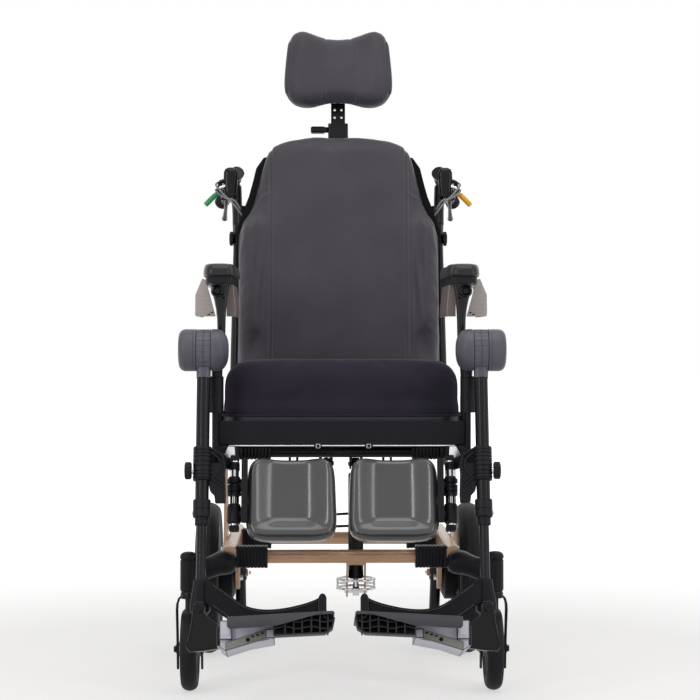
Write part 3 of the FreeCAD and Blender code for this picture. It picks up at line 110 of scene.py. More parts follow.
def add_node(tree: bpy.types.NodeTree, kind: str, inputs: dict | None = None, **settings: object) -> bpy.types.Node:
    """Adds a node, sets it up and links it.

    Args:
        tree: the node tree.
        kind: the node's type name.
        inputs: a value or a socket for each input, by name or number.
        settings: properties of the node.

    Returns:
        The new node.
    """
    node = tree.nodes.new(kind)
    for key, value in settings.items():
        setattr(node, key, value)
    for key, value in (inputs or {}).items():
        if isinstance(value, NodeSocket):
            tree.links.new(value, node.inputs[key])
        else:
            node.inputs[key].default_value = value
    return node


# Finishes


@dataclass(frozen=True)
class Paint:
    """A material being drawn: its tree, its shader and the object coordinates."""

    tree: bpy.types.NodeTree
    shader: bpy.types.Node
    where: NodeSocket

    def add(self, kind: str, inputs: dict, **settings: object) -> bpy.types.Node:
        """Adds a node to the tree."""
        return add_node(self.tree, kind, inputs, **settings)

    def noise(self, millimetres: float, detail: float) -> NodeSocket:
        """Noise with features of this size."""
        inputs = {"Vector": self.where, "Scale": per_metre(millimetres), "Detail": detail}
        return self.add("ShaderNodeTexNoise", inputs).outputs["Fac"]

    def steer(self, name: str, value: NodeSocket) -> None:
        """Links one of the shader's inputs."""
        self.tree.links.new(value, self.shader.inputs[name])

    def sheen(self, weight: float, roughness: float) -> None:
        """Gives the shader a fuzzy sheen."""
        self.shader.inputs["Sheen Weight"].default_value = weight
        self.shader.inputs["Sheen Roughness"].default_value = roughness

    def mix(self, factor: NodeSocket, first: NodeSocket, second: str) -> NodeSocket:
        """Mixes a fixed colour into a colour."""
        inputs = {"Factor": factor, 6: first, 7: linear(second)}
        return self.add("ShaderNodeMix", inputs, data_type="RGBA").outputs[2]


@dataclass(frozen=True)
class Finish:
    """A surface finish: its base colour and gloss, with a pattern that each kind draws in its own way."""

    name: str
    colour: str
    roughness: float
    metallic: float = 0.0
    grain: float = 1.0
    relief: float = 0.05
    worn: str = ""
    coat: float = 0.0
    gleam: float = 0.5

    def build(self) -> Material:
        """Makes the material.

        Returns:
            The Blender material, made once and then shared.
        """
        found = bpy.data.materials.get(self.name)
        if found:
            return found
        material = bpy.data.materials.new(self.name)
        material.use_nodes = True
        tree = material.node_tree
        tree.nodes.clear()
        shader = add_node(tree, "ShaderNodeBsdfPrincipled", {"Metallic": self.metallic, "Roughness": self.roughness})
        shader.inputs["Specular IOR Level"].default_value = self.gleam
        if self.coat:
            shader.inputs["Coat Weight"].default_value = self.coat
            shader.inputs["Coat Roughness"].default_value = 0.12
        self.draw(Paint(tree, shader, add_node(tree, "ShaderNodeTexCoord").outputs["Object"]))
        add_node(tree, "ShaderNodeOutputMaterial", {"Surface": shader.outputs[0]})
        return material

    def draw(self, paint: Paint) -> None:
        """Draws the pattern: an even tone with slight blotches, a fine relief and paler worn edges.

        Args:
            paint: the material being drawn.
        """
        tone = self.tone(paint, 60.0, 0.12)
        paint.steer("Base Color", self.edges(paint, tone) if self.worn else tone)
        self.vary_gloss(paint, paint.noise(25.0, 2.0), 0.05)
        self.raise_relief(paint, paint.noise(self.grain, 3.0))

    def tone(self, paint: Paint, size: float, spread: float) -> NodeSocket:
        """The base colour, drifting a little lighter and darker over patches.

        Args:
            paint: the material being drawn.
            size: patch size in millimetres.
            spread: how far the tone drifts, as a share of itself.

        Returns:
            The colour socket.
        """
        ramp = paint.add("ShaderNodeValToRGB", {"Fac": paint.noise(size, 4.0)})
        for element, place, share in zip(ramp.color_ramp.elements, (0.3, 0.7), (1 - spread, 1 + spread)):
            element.position = place
            element.color = [min(1, c * share) for c in linear(self.colour)[:3]] + [1]
        return ramp.outputs["Color"]

    def edges(self, paint: Paint, tone: NodeSocket) -> NodeSocket:
        """Mixes in the worn colour where the surface turns sharply.

        Args:
            paint: the material being drawn.
            tone: the colour away from the edges.

        Returns:
            The mixed colour socket.
        """
        sharp = paint.add("ShaderNodeNewGeometry", {}).outputs["Pointiness"]
        limits = {"Value": sharp, "From Min": 0.53, "From Max": 0.62, "To Max": 0.55}
        return paint.mix(paint.add("ShaderNodeMapRange", limits).outputs[0], tone, self.worn)

    def vary_gloss(self, paint: Paint, pattern: NodeSocket, spread: float) -> None:
        """Lets the roughness wander, as handling and moulding leave it.

        Args:
            paint: the material being drawn.
            pattern: what it wanders by.
            spread: how far it wanders each way.
        """
        limits = {"Value": pattern, "To Min": self.roughness - spread, "To Max": self.roughness + spread}
        paint.steer("Roughness", paint.add("ShaderNodeMapRange", limits).outputs[0])

    def raise_relief(self, paint: Paint, height: NodeSocket) -> None:
        """Turns a height into surface relief as deep as the finish has it."""
        bump = paint.add("ShaderNodeBump", {"Height": height, "Strength": 0.6, "Distance": self.relief * MM})
        paint.steer("Normal", bump.outputs["Normal"])


@dataclass(frozen=True)
class Leatherette(Finish):
    """Coated fabric with a pebbled grain: small cells with soft valleys, and a faint sheen."""

    def draw(self, paint: Paint) -> None:
        """Draws the pebble grain and the soft drift of its tone."""
        scale = {"Vector": paint.where, "Scale": per_metre(self.grain)}
        cells = paint.add("ShaderNodeTexVoronoi", scale, feature="SMOOTH_F1").outputs["Distance"]
        fine = paint.noise(self.grain * 0.4, 2.0)
        height = paint.add("ShaderNodeMath", {0: cells, 1: fine}, operation="ADD")
        paint.steer("Base Color", self.tone(paint, 90.0, 0.10))
        paint.sheen(0.05, 0.5)
        self.vary_gloss(paint, paint.noise(30.0, 2.0), 0.05)
        self.raise_relief(paint, height.outputs[0])


@dataclass(frozen=True)
class Weave(Finish):
    """Woven or knitted cloth: crossing threads, drawn coarser than the real thread so that they show."""

    second: str = "#000000"

    def draw(self, paint: Paint) -> None:
        """Draws two crossing sets of threads with a fuzzy sheen."""
        scale = {
            "Vector": paint.where, "Scale": per_metre(self.grain) / (2 * math.pi), "Distortion": 1.2, "Detail": 1.0
        }
        warp, weft = [
            paint.add("ShaderNodeTexWave", scale, bands_direction=axis).outputs["Fac"] for axis in ("X", "Z")
        ]
        height = paint.add("ShaderNodeMath", {0: warp, 1: weft}, operation="MULTIPLY").outputs[0]
        paint.steer("Base Color", paint.mix(height, self.tone(paint, 40.0, 0.15), self.second))
        paint.sheen(0.35, 0.4)
        paint.shader.inputs["Sheen Tint"].default_value = linear("#8a7f8c")
        self.raise_relief(paint, height)


@dataclass(frozen=True)
class BrushedMetal(Finish):
    """Rolled or drawn metal: fine lines along one axis that smear the reflections."""

    def draw(self, paint: Paint) -> None:
        """Draws stretched lines along X into the gloss and the relief."""
        drawn = paint.add("ShaderNodeMapping", {"Vector": paint.where, "Scale": (0.03, 1.0, 1.0)})
        lines = Paint(paint.tree, paint.shader, drawn.outputs[0]).noise(self.grain, 3.0)
        paint.steer("Base Color", self.tone(paint, 70.0, 0.08))
        self.vary_gloss(paint, lines, 0.1)
        self.raise_relief(paint, lines)


# Satin powder coat on steel tube: a slight orange peel, paler where edges rub.
BLACK_COAT = Finish("black_powder_coat", "#121217", 0.27, grain=2.2, relief=0.03, worn="#2b2b32", gleam=0.2)
# Glass-filled nylon, spark-eroded mould: dark with a dull grain.
BLACK_NYLON = Finish("black_nylon", "#17171c", 0.46, grain=0.7, relief=0.05, worn="#34343b", gleam=0.16)
# Gloss-moulded ABS: nearly black with clear highlights.
GLOSS_ABS = Finish("gloss_black_abs", "#0e0e12", 0.14, grain=6.0, relief=0.01, gleam=0.24)
# Satin ABS of the knee hubs: dark grey, evenly eroded, with soft highlights.
HUB_ABS = Finish("hub_satin_abs", "#5c5a65", 0.42, grain=0.8, relief=0.035, worn="#7d7b86", gleam=0.35)
# Champagne lacquer over steel: warm metallic base under a satin clear coat.
BRONZE = Finish("champagne_lacquer", "#d8aa88", 0.36, metallic=0.2, grain=0.9, relief=0.02, worn="#dcc0a2", coat=0.2)
# Satin silver ABS of the guards.
SILVER_ABS = Finish("silver_abs", "#c2b7b2", 0.38, metallic=0.15, grain=0.8, relief=0.03, worn="#dcd4d0")
# The same skin on the guard's inner leaf: duller, and darker and browner as painted shade.
SILVER_ABS_PAINTED_SHADE = Finish("shaded_abs", "#8b7f79", 0.45, metallic=0.1, grain=0.8, relief=0.03)
# Injection-moulded nylon wheel centres, mid grey.
WHEEL_NYLON = Finish("wheel_grey_nylon", "#77777b", 0.5, grain=0.9, relief=0.05, worn="#97979b")
# Solid polyurethane tyres: dull grey-black with a dry bloom.
TYRE = Finish("tyre_polyurethane", "#1d1d21", 0.62, grain=1.4, relief=0.08, worn="#313136", gleam=0.2)
# Moulded rubber of grips and feet.
RUBBER = Finish("moulded_rubber", "#161618", 0.6, grain=1.0, relief=0.06, worn="#28282b", gleam=0.2)
# Rolled aluminium sheet.
ALUMINIUM = BrushedMetal("rolled_aluminium", "#c3c4c7", 0.32, metallic=1.0, grain=0.9, relief=0.01)
# Pressure-cast aluminium of the footplate bearers: pale with a sandy skin.
CASTING = Finish("cast_aluminium", "#c6c4d3", 0.42, metallic=0.3, grain=1.6, relief=0.06, worn="#dcdde0")
# The bearer's lower bar: darker and duller than the rest of the casting, with a green-grey cast.
LOWER_BAR_CASTING = Finish("rough_casting", "#7d807a", 0.55, metallic=0.4, grain=2.0, relief=0.08, worn="#a3a59f")
# Zinc plate on bolts, pins and rods.
ZINC = Finish("zinc_plate", "#d2d3d6", 0.2, metallic=1.0, grain=1.5, relief=0.01)
# Stretch fabric of the seat cushion: near black with a plum cast.
SEAT_CLOTH = Weave("seat_stretch_cloth", "#2b2733", 0.85, grain=0.8, relief=0.08, second="#322e3b", gleam=0.2)
# Coated tape round the cushion's base: smoother and lighter than the cloth above it.
PIPING = Finish("cushion_tape", "#33333c", 0.34, grain=1.2, relief=0.04, gleam=0.35)
# Plain lining cloth behind the back cushion.
LINING = Weave("back_lining", "#161618", 0.9, grain=1.4, relief=0.15, second="#202023", gleam=0.15)
# Nylon webbing of the heel straps.
WEBBING = Weave("heel_webbing", "#17171a", 0.8, grain=1.8, relief=0.25, second="#232327", gleam=0.2)
# Polyurethane-coated fabric of the back and the headrest.
GREY_LEATHERETTE = Leatherette("coated_fabric_grey", "#4e4b52", 0.5, grain=1.5, relief=0.1, gleam=0.22)
# Moulded vinyl skin of the calf and arm pads: black and glossy over a faint grain.
BLACK_VINYL = Leatherette("black_moulded_vinyl", "#1a1a1d", 0.3, grain=1.6, relief=0.04, gleam=0.35)
# The calf pads' thicker skin: black vinyl given a mid-grey base colour, painted reflection that stands in for the wide
# grey reflections it holds.
CALF_VINYL_PAINTED_REFLECTION = Leatherette("calf_pad_vinyl", "#434244", 0.24, grain=1.6, relief=0.03, coat=0.5)
# Powder-coated steel board under the seat, with a blue cast.
BOARD_COAT = Finish("board_powder_coat", "#101017", 0.36, grain=2.2, relief=0.03, worn="#24242d", gleam=0.15)
# Polyester sewing thread.
THREAD = Finish("sewing_thread", "#77757b", 0.6, grain=0.5, relief=0.02)
# Moulded dark grey deck of the footplates.
DECK = Finish("footplate_deck", "#3a3a3f", 0.46, grain=1.2, relief=0.08, worn="#5a5a60", gleam=0.3)
GREEN_SLEEVE = Finish("green_sleeve", "#2fa45a", 0.38, grain=1.2, relief=0.03, worn="#5cc483")
YELLOW_SLEEVE = Finish("yellow_sleeve", "#fdb913", 0.38, grain=1.2, relief=0.03, worn="#ffd75e")
# Smooth vinyl sheath of the release cables.
CABLE = Finish("cable_sheath", "#131315", 0.4, grain=3.0, relief=0.01, gleam=0.3)
GREY_CABLE = Finish("grey_cable_sheath", "#8b8b90", 0.4, grain=3.0, relief=0.01)


# Mesh building


class Shape:
    """A mesh under construction, in the chair's drawing millimetres, with y = 0 at the caster stems."""

    def __init__(self, slot: int = 0) -> None:
        """Starts an empty shape whose faces get the finish with this number."""
        self.bm = bmesh.new()
        self.slot = slot

    def face(self, corners: Sequence[bmesh.types.BMVert]) -> None:
        """Adds one face with the current finish."""
        if len(set(corners)) > 2:
            made = self.bm.faces.new(corners)
            made.material_index = self.slot

    def loft(self, rings: Sequence[Sequence[Point]], caps: bool = True, loop: bool = False) -> "Shape":
        """Skins a row of rings that have the same number of points.

        Args:
            rings: closed rings of points.
            caps: closes the first and the last ring.
            loop: joins the last ring to the first.

        Returns:
            This shape.
        """
        made = [[self.bm.verts.new(p) for p in ring] for ring in rings]
        count = len(made[0])
        pairs = list(zip(made, made[1:]))
        if loop:
            pairs.append((made[-1], made[0]))
        for a, b in pairs:
            for i in range(count):
                j = (i + 1) % count
                self.face((a[i], a[j], b[j], b[i]))
        if caps and not loop:
            self.face(made[0][::-1])
            self.face(made[-1])
        return self

    def lathe(self, profile: Sequence[Point], origin: Point, axis: Point, steps: int = 48) -> "Shape":
        """Turns a profile about a line.

        Args:
            profile: (distance along the line, radius) points, from one end to the other.
            origin: a point of the line.
            axis: the line's direction.
            steps: points in each ring.

        Returns:
            This shape.
        """
        way = Vector(axis).normalized()
        out = way.orthogonal().normalized()
        up = way.cross(out)
        rings = []
        for along, radius in profile:
            middle = Vector(origin) + way * along
            rings.append([middle + (out * math.cos(t) + up * math.sin(t)) * radius for t in turns(steps)])
        return self.loft(rings)

    def tube(self, path: Sequence[Point], radius: float | Sequence[float], sides: int = 16) -> "Shape":
        """Sweeps a round section along a path.

        Args:
            path: the points of the middle line.
            radius: one radius, or one for each point.
            sides: points in each ring.

        Returns:
            This shape.
        """
        points = [Vector(p) for p in path]
        radii = [radius] * len(points) if isinstance(radius, (int, float)) else radius
        steps = [(b - a).normalized() for a, b in zip(points, points[1:])]
        ways = [steps[0]] + [(a + b).normalized() for a, b in zip(steps, steps[1:])] + [steps[-1]]
        out = ways[0].orthogonal().normalized()
        rings = []
        for point, way, size in zip(points, ways, radii):
            out = (out - way * out.dot(way)).normalized()
            up = way.cross(out)
            rings.append([point + (out * math.cos(t) + up * math.sin(t)) * size for t in turns(sides)])
        return self.loft(rings)

    def prism(self, outline: Sequence[Point], low: float, high: float, axis: Axis = Axis.Y) -> "Shape":
        """Pushes a flat outline along an axis.

        Args:
            outline: points on the other two axes.
            low: where it starts on the axis.
            high: where it ends.
            axis: the axis.

        Returns:
            This shape.
        """
        along, first, second = axis.value
        rings = []
        for level in (low, high):
            ring = []
            for u, v in outline:
                point = [0.0, 0.0, 0.0]
                point[along], point[first], point[second] = level, u, v
                ring.append(point)
            rings.append(ring)
        return self.loft(rings)

    def block(self, low: Point, high: Point) -> "Shape":
        """A block between two corners."""
        (x0, y0, z0), (x1, y1, z1) = low, high
        return self.prism([(x0, z0), (x1, z0), (x1, z1), (x0, z1)], y0, y1)

    def rounded(self, width: float, segments: int = 3, angle: float = 30.0) -> "Shape":
        """Rounds the sharp edges that have room for it.

        Args:
            width: the rounding in millimetres.
            segments: steps across it.
            angle: edges that turn more than this are sharp.

        Returns:
            This shape.
        """
        self.tidy()
        round_edges(self.bm, width, segments, angle)
        return self

    def tidy(self) -> "Shape":
        """Joins doubled points and turns all faces outwards."""
        bmesh.ops.remove_doubles(self.bm, verts=self.bm.verts, dist=0.001)
        bmesh.ops.recalc_face_normals(self.bm, faces=self.bm.faces)
        return self

    def place(self, matrix: Matrix) -> "Shape":
        """Moves the shape."""
        self.bm.transform(matrix)
        return self

    def on(self, side: Side) -> "Shape":
        """Mirrors a right-hand shape to the left if asked."""
        if side is Side.LEFT:
            self.bm.transform(Matrix.Scale(-1, 4, (1, 0, 0)))
            bmesh.ops.reverse_faces(self.bm, faces=self.bm.faces)
        return self

    def add(self, *others: "Shape | Mesh") -> "Shape":
        """Takes in other shapes or meshes, each with its own finish numbers.

        Args:
            others: what to take in.

        Returns:
            This shape.
        """
        for other in others:
            if isinstance(other, Shape):
                other.tidy()
                carrier = bpy.data.meshes.new("carrier")
                other.bm.to_mesh(carrier)
                other.bm.free()
                self.bm.from_mesh(carrier)
                bpy.data.meshes.remove(carrier)
            else:
                self.bm.from_mesh(other)
        return self

    def mesh(self, name: str) -> Mesh:
        """The shape as a Blender mesh, still in millimetres."""
        made = bpy.data.meshes.new(name)
        self.bm.to_mesh(made)
        self.bm.free()
        return made


def round_edges(bm: bmesh.types.BMesh, width: float, segments: int, angle: float) -> None:
    """Bevels sharp edges, leaving out those beside edges too short for it.

    Args:
        bm: the mesh.
        width: bevel width in the mesh's unit.
        segments: steps across the bevel.
        angle: edges that turn more than this many degrees are sharp.
    """
    limit = math.radians(angle)
    room = 2.3 * width
    chosen = []
    for edge in bm.edges:
        if len(edge.link_faces) != 2 or edge.calc_face_angle(0.0) < limit:
            continue
        beside = {e for v in edge.verts for e in v.link_edges}
        if all(e.calc_length() > room for e in beside if e.calc_face_angle(0.0) > limit or e is edge):
            chosen.append(edge)
    if chosen:
        bmesh.ops.bevel(
            bm, geom=chosen, offset=width, segments=segments, profile=0.5, affect="EDGES", clamp_overlap=True,
            loop_slide=True,
        )


def oval(wide: float, high: float, power: float = 2.0, steps: int = 32) -> list[tuple[float, float]]:
    """A rounded ring between an ellipse (power 2) and a rectangle.

    Args:
        wide: half width.
        high: half height.
        power: squareness.
        steps: number of points.

    Returns:
        The points of the ring.
    """
    ring = []
    for n in range(steps):
        t = 2 * math.pi * (n + 0.5) / steps
        c, s = math.cos(t), math.sin(t)
        ring.append((
            wide * math.copysign(abs(c) ** (2 / power), c),
            high * math.copysign(abs(s) ** (2 / power), s),
        ))
    return ring


def smooth_path(points: Sequence[Point], steps: int = 8) -> list[Vector]:
    """A smooth line through some points.

    Args:
        points: the points it goes through.
        steps: how many steps each span gets.

    Returns:
        The points of the line.
    """
    known = [Vector(p) for p in points]
    ends = [known[0] * 2 - known[1]] + known + [known[-1] * 2 - known[-2]]
    line = []
    for a, b, c, d in zip(ends, ends[1:], ends[2:], ends[3:]):
        for n in range(steps):
            t = n / steps
            line.append(
                0.5 * (2 * b + (c - a) * t + (2 * a - 5 * b + 4 * c - d) * t ** 2 + (3 * b - a - 3 * c + d) * t ** 3)
            )
    return line + [known[-1]]


def bent_path(points: Sequence[Point], bend: float, steps: int = 10) -> list[Vector]:
    """Straight runs with a round bend at each corner.

    Args:
        points: the ends and the corners.
        bend: the bend's radius.
        steps: points on each bend.

    Returns:
        The points of the path.
    """
    corners = [Vector(p) for p in points]
    path = [corners[0]]
    for before, corner, after in zip(corners, corners[1:], corners[2:]):
        back, ahead = (before - corner).normalized(), (after - corner).normalized()
        half = back.angle(ahead) / 2
        reach = bend / math.tan(half)
        first, last = corner + back * reach, corner + ahead * reach
        middle = corner + (back + ahead).normalized() * (bend / math.sin(half))
        for n in range(steps + 1):
            step = (first - middle).slerp(last - middle, n / steps)
            path.append(middle + step)
    return path + [corners[-1]]


def smoothstep(low: float, high: float, value: float) -> float:
    """0 before low, 1 after high and a smooth rise between them."""
    share = min(1.0, max(0.0, (value - low) / (high - low)))
    return share * share * (3 - 2 * share)


def hump(value: float, middle: float, width: float) -> float:
    """A bell curve of height 1."""
    return math.exp(-(((value - middle) / width) ** 2))


def turns(steps: int) -> list[float]:
    """Even angles round a full circle, in radians."""
    return [2 * math.pi * n / steps for n in range(steps)]


def quarter_turn(axis: Point, place: Point = (0, 0, 0)) -> Matrix:
    """A quarter turn about an axis, then a move."""
    return Matrix.Translation(place) @ Matrix.Rotation(math.pi / 2, 4, axis)


def both_halves(right: Sequence[Point]) -> tuple[tuple[float, float], ...]:
    """A smooth closed outline from its right half, which runs from the middle line back to it."""
    points = [(p.x, p.y) for p in smooth_path([(x, h, 0) for x, h in right], 4)]
    return tuple(points + [(-x, h) for x, h in points[-2:0:-1]])


def add_object(name: str, data: bpy.types.ID) -> Object:
    """A new object in the scene."""
    made = bpy.data.objects.new(name, data)
    bpy.context.scene.collection.objects.link(made)
    return made


def evaluated(holder: Object) -> Mesh:
    """An object's mesh with its modifiers applied."""
    seen = holder.evaluated_get(bpy.context.evaluated_depsgraph_get())
    return bpy.data.meshes.new_from_object(seen)


# Repeats made by geometry nodes


class Repeat:
    """A geometry node tree that copies a small part, with its sizes as named inputs."""

    def __init__(self, name: str, sizes: dict[str, type]) -> None:
        """Starts the tree with its input sockets.

        Args:
            name: the tree's name.
            sizes: named inputs beside Part and Material, as float, int or bool.
        """
        kinds = {float: "NodeSocketFloat", int: "NodeSocketInt", bool: "NodeSocketBool"}
        self.tree = bpy.data.node_groups.new(name, "GeometryNodeTree")
        face = self.tree.interface
        face.new_socket(name="Geometry", in_out="INPUT", socket_type="NodeSocketGeometry")
        face.new_socket(name="Part", in_out="INPUT", socket_type="NodeSocketObject")
        face.new_socket(name="Material", in_out="INPUT", socket_type="NodeSocketMaterial")
        for key, kind in sizes.items():
            face.new_socket(name=key, in_out="INPUT", socket_type=kinds[kind])
        face.new_socket(name="Geometry", in_out="OUTPUT", socket_type="NodeSocketGeometry")
        self.inputs = add_node(self.tree, "NodeGroupInput").outputs

    def end(self, points: NodeSocket, rotation: NodeSocket | None) -> None:
        """Copies the part to the points and finishes the tree.

        Args:
            points: where the copies go.
            rotation: how each copy is turned.
        """
        part = add_node(self.tree, "GeometryNodeObjectInfo", {"Object": self.inputs["Part"]})
        links = {"Points": points, "Instance": part.outputs["Geometry"]}
        if rotation is not None:
            links["Rotation"] = rotation
        copies = add_node(self.tree, "GeometryNodeInstanceOnPoints", links)
        real = add_node(self.tree, "GeometryNodeRealizeInstances", {"Geometry": copies.outputs[0]})
        dressed = add_node(
            self.tree, "GeometryNodeSetMaterial",
            {"Geometry": real.outputs[0], "Material": self.inputs["Material"]},
        )
        add_node(self.tree, "NodeGroupOutput", {"Geometry": dressed.outputs[0]})

    def run(self, points: Mesh | None, part: Shape, finish: Finish, slot: int = 0, **sizes: float) -> Mesh:
        """Runs the tree once.

        Args:
            points: the mesh that the tree starts from, if it needs one.
            part: the small part, standing on its own origin with its top along +Z.
            finish: the copies' finish.
            slot: the number of that finish in the piece that takes them in.
            sizes: values for the named inputs, with _ for a space.

        Returns:
            The copies as one plain mesh.
        """
        part.tidy()
        template = add_object("template", part.mesh("template"))
        holder = add_object("holder", points or bpy.data.meshes.new("seed"))
        modifier = holder.modifiers.new("repeat", "NODES")
        modifier.node_group = self.tree
        wanted = {key.replace("_", " "): value for key, value in sizes.items()}
        wanted.update({"Part": template, "Material": finish.build()})
        for item in self.tree.interface.items_tree:
            if item.in_out == "INPUT" and item.name in wanted:
                modifier[item.identifier] = wanted[item.name]
        copies = evaluated(holder)
        for made in (template, holder):
            bpy.data.objects.remove(made)
        copies.polygons.foreach_set("material_index", [slot] * len(copies.polygons))
        return copies


class Repeats:
    """The four ways in which small parts repeat on this chair."""

    def __init__(self) -> None:
        """Builds the trees."""
        self.along = self.make_along()
        self.ring = self.make_ring()
        self.row = self.make_row()
        self.spots = self.make_spots()

    @staticmethod
    def make_along() -> Repeat:
        """Copies along a line of edges, at a pitch, each turned to the line."""
        repeat = Repeat("copies_along_a_line", {"Pitch": float})
        tree = repeat.tree
        curve = add_node(tree, "GeometryNodeMeshToCurve", {"Mesh": repeat.inputs["Geometry"]})
        even = add_node(
            tree, "GeometryNodeResampleCurve",
            {"Curve": curve.outputs[0], "Length": repeat.inputs["Pitch"]}, mode="LENGTH",
        )
        points = add_node(tree, "GeometryNodeCurveToPoints", {"Curve": even.outputs[0]}, mode="EVALUATED")
        repeat.end(points.outputs["Points"], points.outputs["Rotation"])
        return repeat

    @staticmethod
    def make_ring() -> Repeat:
        """Copies round the Z axis at a radius, each turned outwards."""
        repeat = Repeat("copies_round_an_axis", {"Count": int, "Radius": float})
        tree = repeat.tree
        circle = add_node(
            tree, "GeometryNodeMeshCircle",
            {"Vertices": repeat.inputs["Count"], "Radius": repeat.inputs["Radius"]},
        )
        place = add_node(tree, "GeometryNodeInputPosition").outputs[0]
        turn = add_node(tree, "FunctionNodeAlignRotationToVector", {"Vector": place}, axis="X")
        repeat.end(circle.outputs[0], turn.outputs[0])
        return repeat

    @staticmethod
    def make_row() -> Repeat:
        """Copies in a row along Z, at a pitch."""
        repeat = Repeat("copies_in_a_row", {"Count": int, "Pitch": float})
        tree = repeat.tree
        step = add_node(tree, "ShaderNodeCombineXYZ", {"Z": repeat.inputs["Pitch"]})
        line = add_node(
            tree, "GeometryNodeMeshLine", {"Count": repeat.inputs["Count"], "Offset": step.outputs[0]}
        )
        repeat.end(line.outputs[0], None)
        return repeat

    @staticmethod
    def make_spots() -> Repeat:
        """Copies at given points, each with its top along the point's own axis."""
        repeat = Repeat("copies_at_points", {})
        tree = repeat.tree
        axis = add_node(tree, "GeometryNodeInputNamedAttribute", {"Name": "axis"}, data_type="FLOAT_VECTOR")
        turn = add_node(tree, "FunctionNodeAlignRotationToVector", {"Vector": axis.outputs[0]}, axis="Z")
        repeat.end(repeat.inputs["Geometry"], turn.outputs[0])
        return repeat


def spot_mesh(spots: Sequence[tuple[Point, Point]]) -> Mesh:
    """Points with an axis each.

    Args:
        spots: (place, axis) pairs.

    Returns:
        A mesh of loose points that holds them.
    """
    made = bpy.data.meshes.new("spots")
    made.from_pydata([tuple(p) for p, _ in spots], [], [])
    axes = made.attributes.new("axis", "FLOAT_VECTOR", "POINT")
    axes.data.foreach_set("vector", [v for _, a in spots for v in a])
    return made


def line_mesh(lines: Sequence[Sequence[Point]]) -> Mesh:
    """Open lines of edges as one mesh."""
    points, edges = [], []
    for line in lines:
        start = len(points)
        points += [tuple(p) for p in line]
        edges += [(n, n + 1) for n in range(start, start + len(line) - 1)]
    made = bpy.data.meshes.new("lines")
    made.from_pydata(points, edges, [])
    return made


# Small parts that the repeats copy


def socket_head(radius: float, height: float) -> Shape:
    """A cap screw's head with its washer and hexagon socket, standing on the origin."""
    washer = 1.45 * radius
    rings = [(0, washer), (0.9, washer), (0.9, radius), (height - 0.5, radius), (height, radius - 0.6)]
    rings += [(height, 0.58 * radius), (height * 0.45, 0.52 * radius), (height * 0.45, 0)]
    return Shape().lathe([(0, 0)] + rings, (0, 0, 0), Z_AXIS, 18)


def hex_head(radius: float, height: float) -> Shape:
    """A hexagon bolt's head on a round washer, standing on the origin."""
    head = Shape()
    washer = 1.35 * radius
    head.lathe([(0, 0), (0, washer), (1.0, washer), (1.0, 0)], (0, 0, 0), (0, 0, 1), 24)
    flat = Shape().lathe([(1.0, 0), (1.0, radius), (height, radius), (height, 0)], (0, 0, 0), (0, 0, 1), 6)
    return head.add(flat.rounded(0.5, 2))


def stitch(length: float, radius: float) -> Shape:
    """One stitch lying along Z, pointed at both ends."""
    half = length / 2
    profile = [(-half, 0), (-0.6 * half, radius), (0.6 * half, radius), (half, 0)]
    return Shape().lathe(profile, (0, 0, 0), (0, 0, 1), 6)


def rib_ring(radius: float, bore: float, width: float) -> Shape:
    """A ring rib round the Z axis with softened corners."""
    edge = 0.25 * width
    half = width / 2
    profile = [(-half, bore), (-half, radius - edge), (-half + edge, radius), (half - edge, radius)]
    profile += [(half, radius - edge), (half, bore)]
    rings = [[(size * math.cos(t), size * math.sin(t), along) for t in turns(40)] for along, size in profile]
    return Shape().loft(rings, loop=True)


# Finishing a piece


@dataclass(frozen=True)
class Drawing:
    """Where the drawing's origin lies in the row frame, worked out from the rear axle."""

    rear_axle_y: float = 505.0
    hub_y: float = -30.0
    hub_z: float = 617.0
    leg_lean: float = 15.0
    recline_y: float = 470.0
    recline_z: float = 430.0
    back_lean: float = 9.0

    def to_row(self) -> Matrix:
        """From drawing millimetres to the row frame's metres."""
        low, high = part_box("rear_tyre_right")
        shift = (low.y + high.y) / 2 - self.rear_axle_y * MM
        return Matrix.Translation((0, shift, 0)) @ Matrix.Scale(MM, 4)

    def leg(self) -> Matrix:
        """From (x, distance behind the leg, height above the knee hub) to the drawing."""
        turn = Matrix.Rotation(math.radians(self.leg_lean), 4, (-1, 0, 0))
        return Matrix.Translation((0, self.hub_y, self.hub_z)) @ turn

    def back(self) -> Matrix:
        """From (x, distance behind the canes, height above the recline pin) to the drawing."""
        turn = Matrix.Rotation(math.radians(self.back_lean), 4, (-1, 0, 0))
        return Matrix.Translation((0, self.recline_y, self.recline_z)) @ turn


DRAWING = Drawing()
TO_ROW = DRAWING.to_row()


def body_of(node: str) -> str:
    """The body that a node belongs to."""
    for body, members in frame["record"]["behaviour"]["bodies"].items():
        if node in members:
            return body
    raise KeyError(node)


def slot_of(node: str) -> str:
    """The record's material slot of a node."""
    for row in frame["record"]["subparts"]:
        if row["node"] == node:
            return row["material_slot"]
    raise KeyError(node)


def settle_normals(piece: Object, angle: float) -> None:
    """Shades a piece smooth up to an angle and lets its large faces lead the shading.

    Args:
        piece: the piece.
        angle: edges that turn more than this many degrees stay crisp.
    """
    piece.data.polygons.foreach_set("use_smooth", [True] * len(piece.data.polygons))
    piece.data.set_sharp_from_angle(angle=math.radians(angle))
    modifier = piece.modifiers.new("face_weight", "WEIGHTED_NORMAL")
    modifier.keep_sharp = True
    settled = evaluated(piece)
    piece.modifiers.clear()
    piece.data = settled


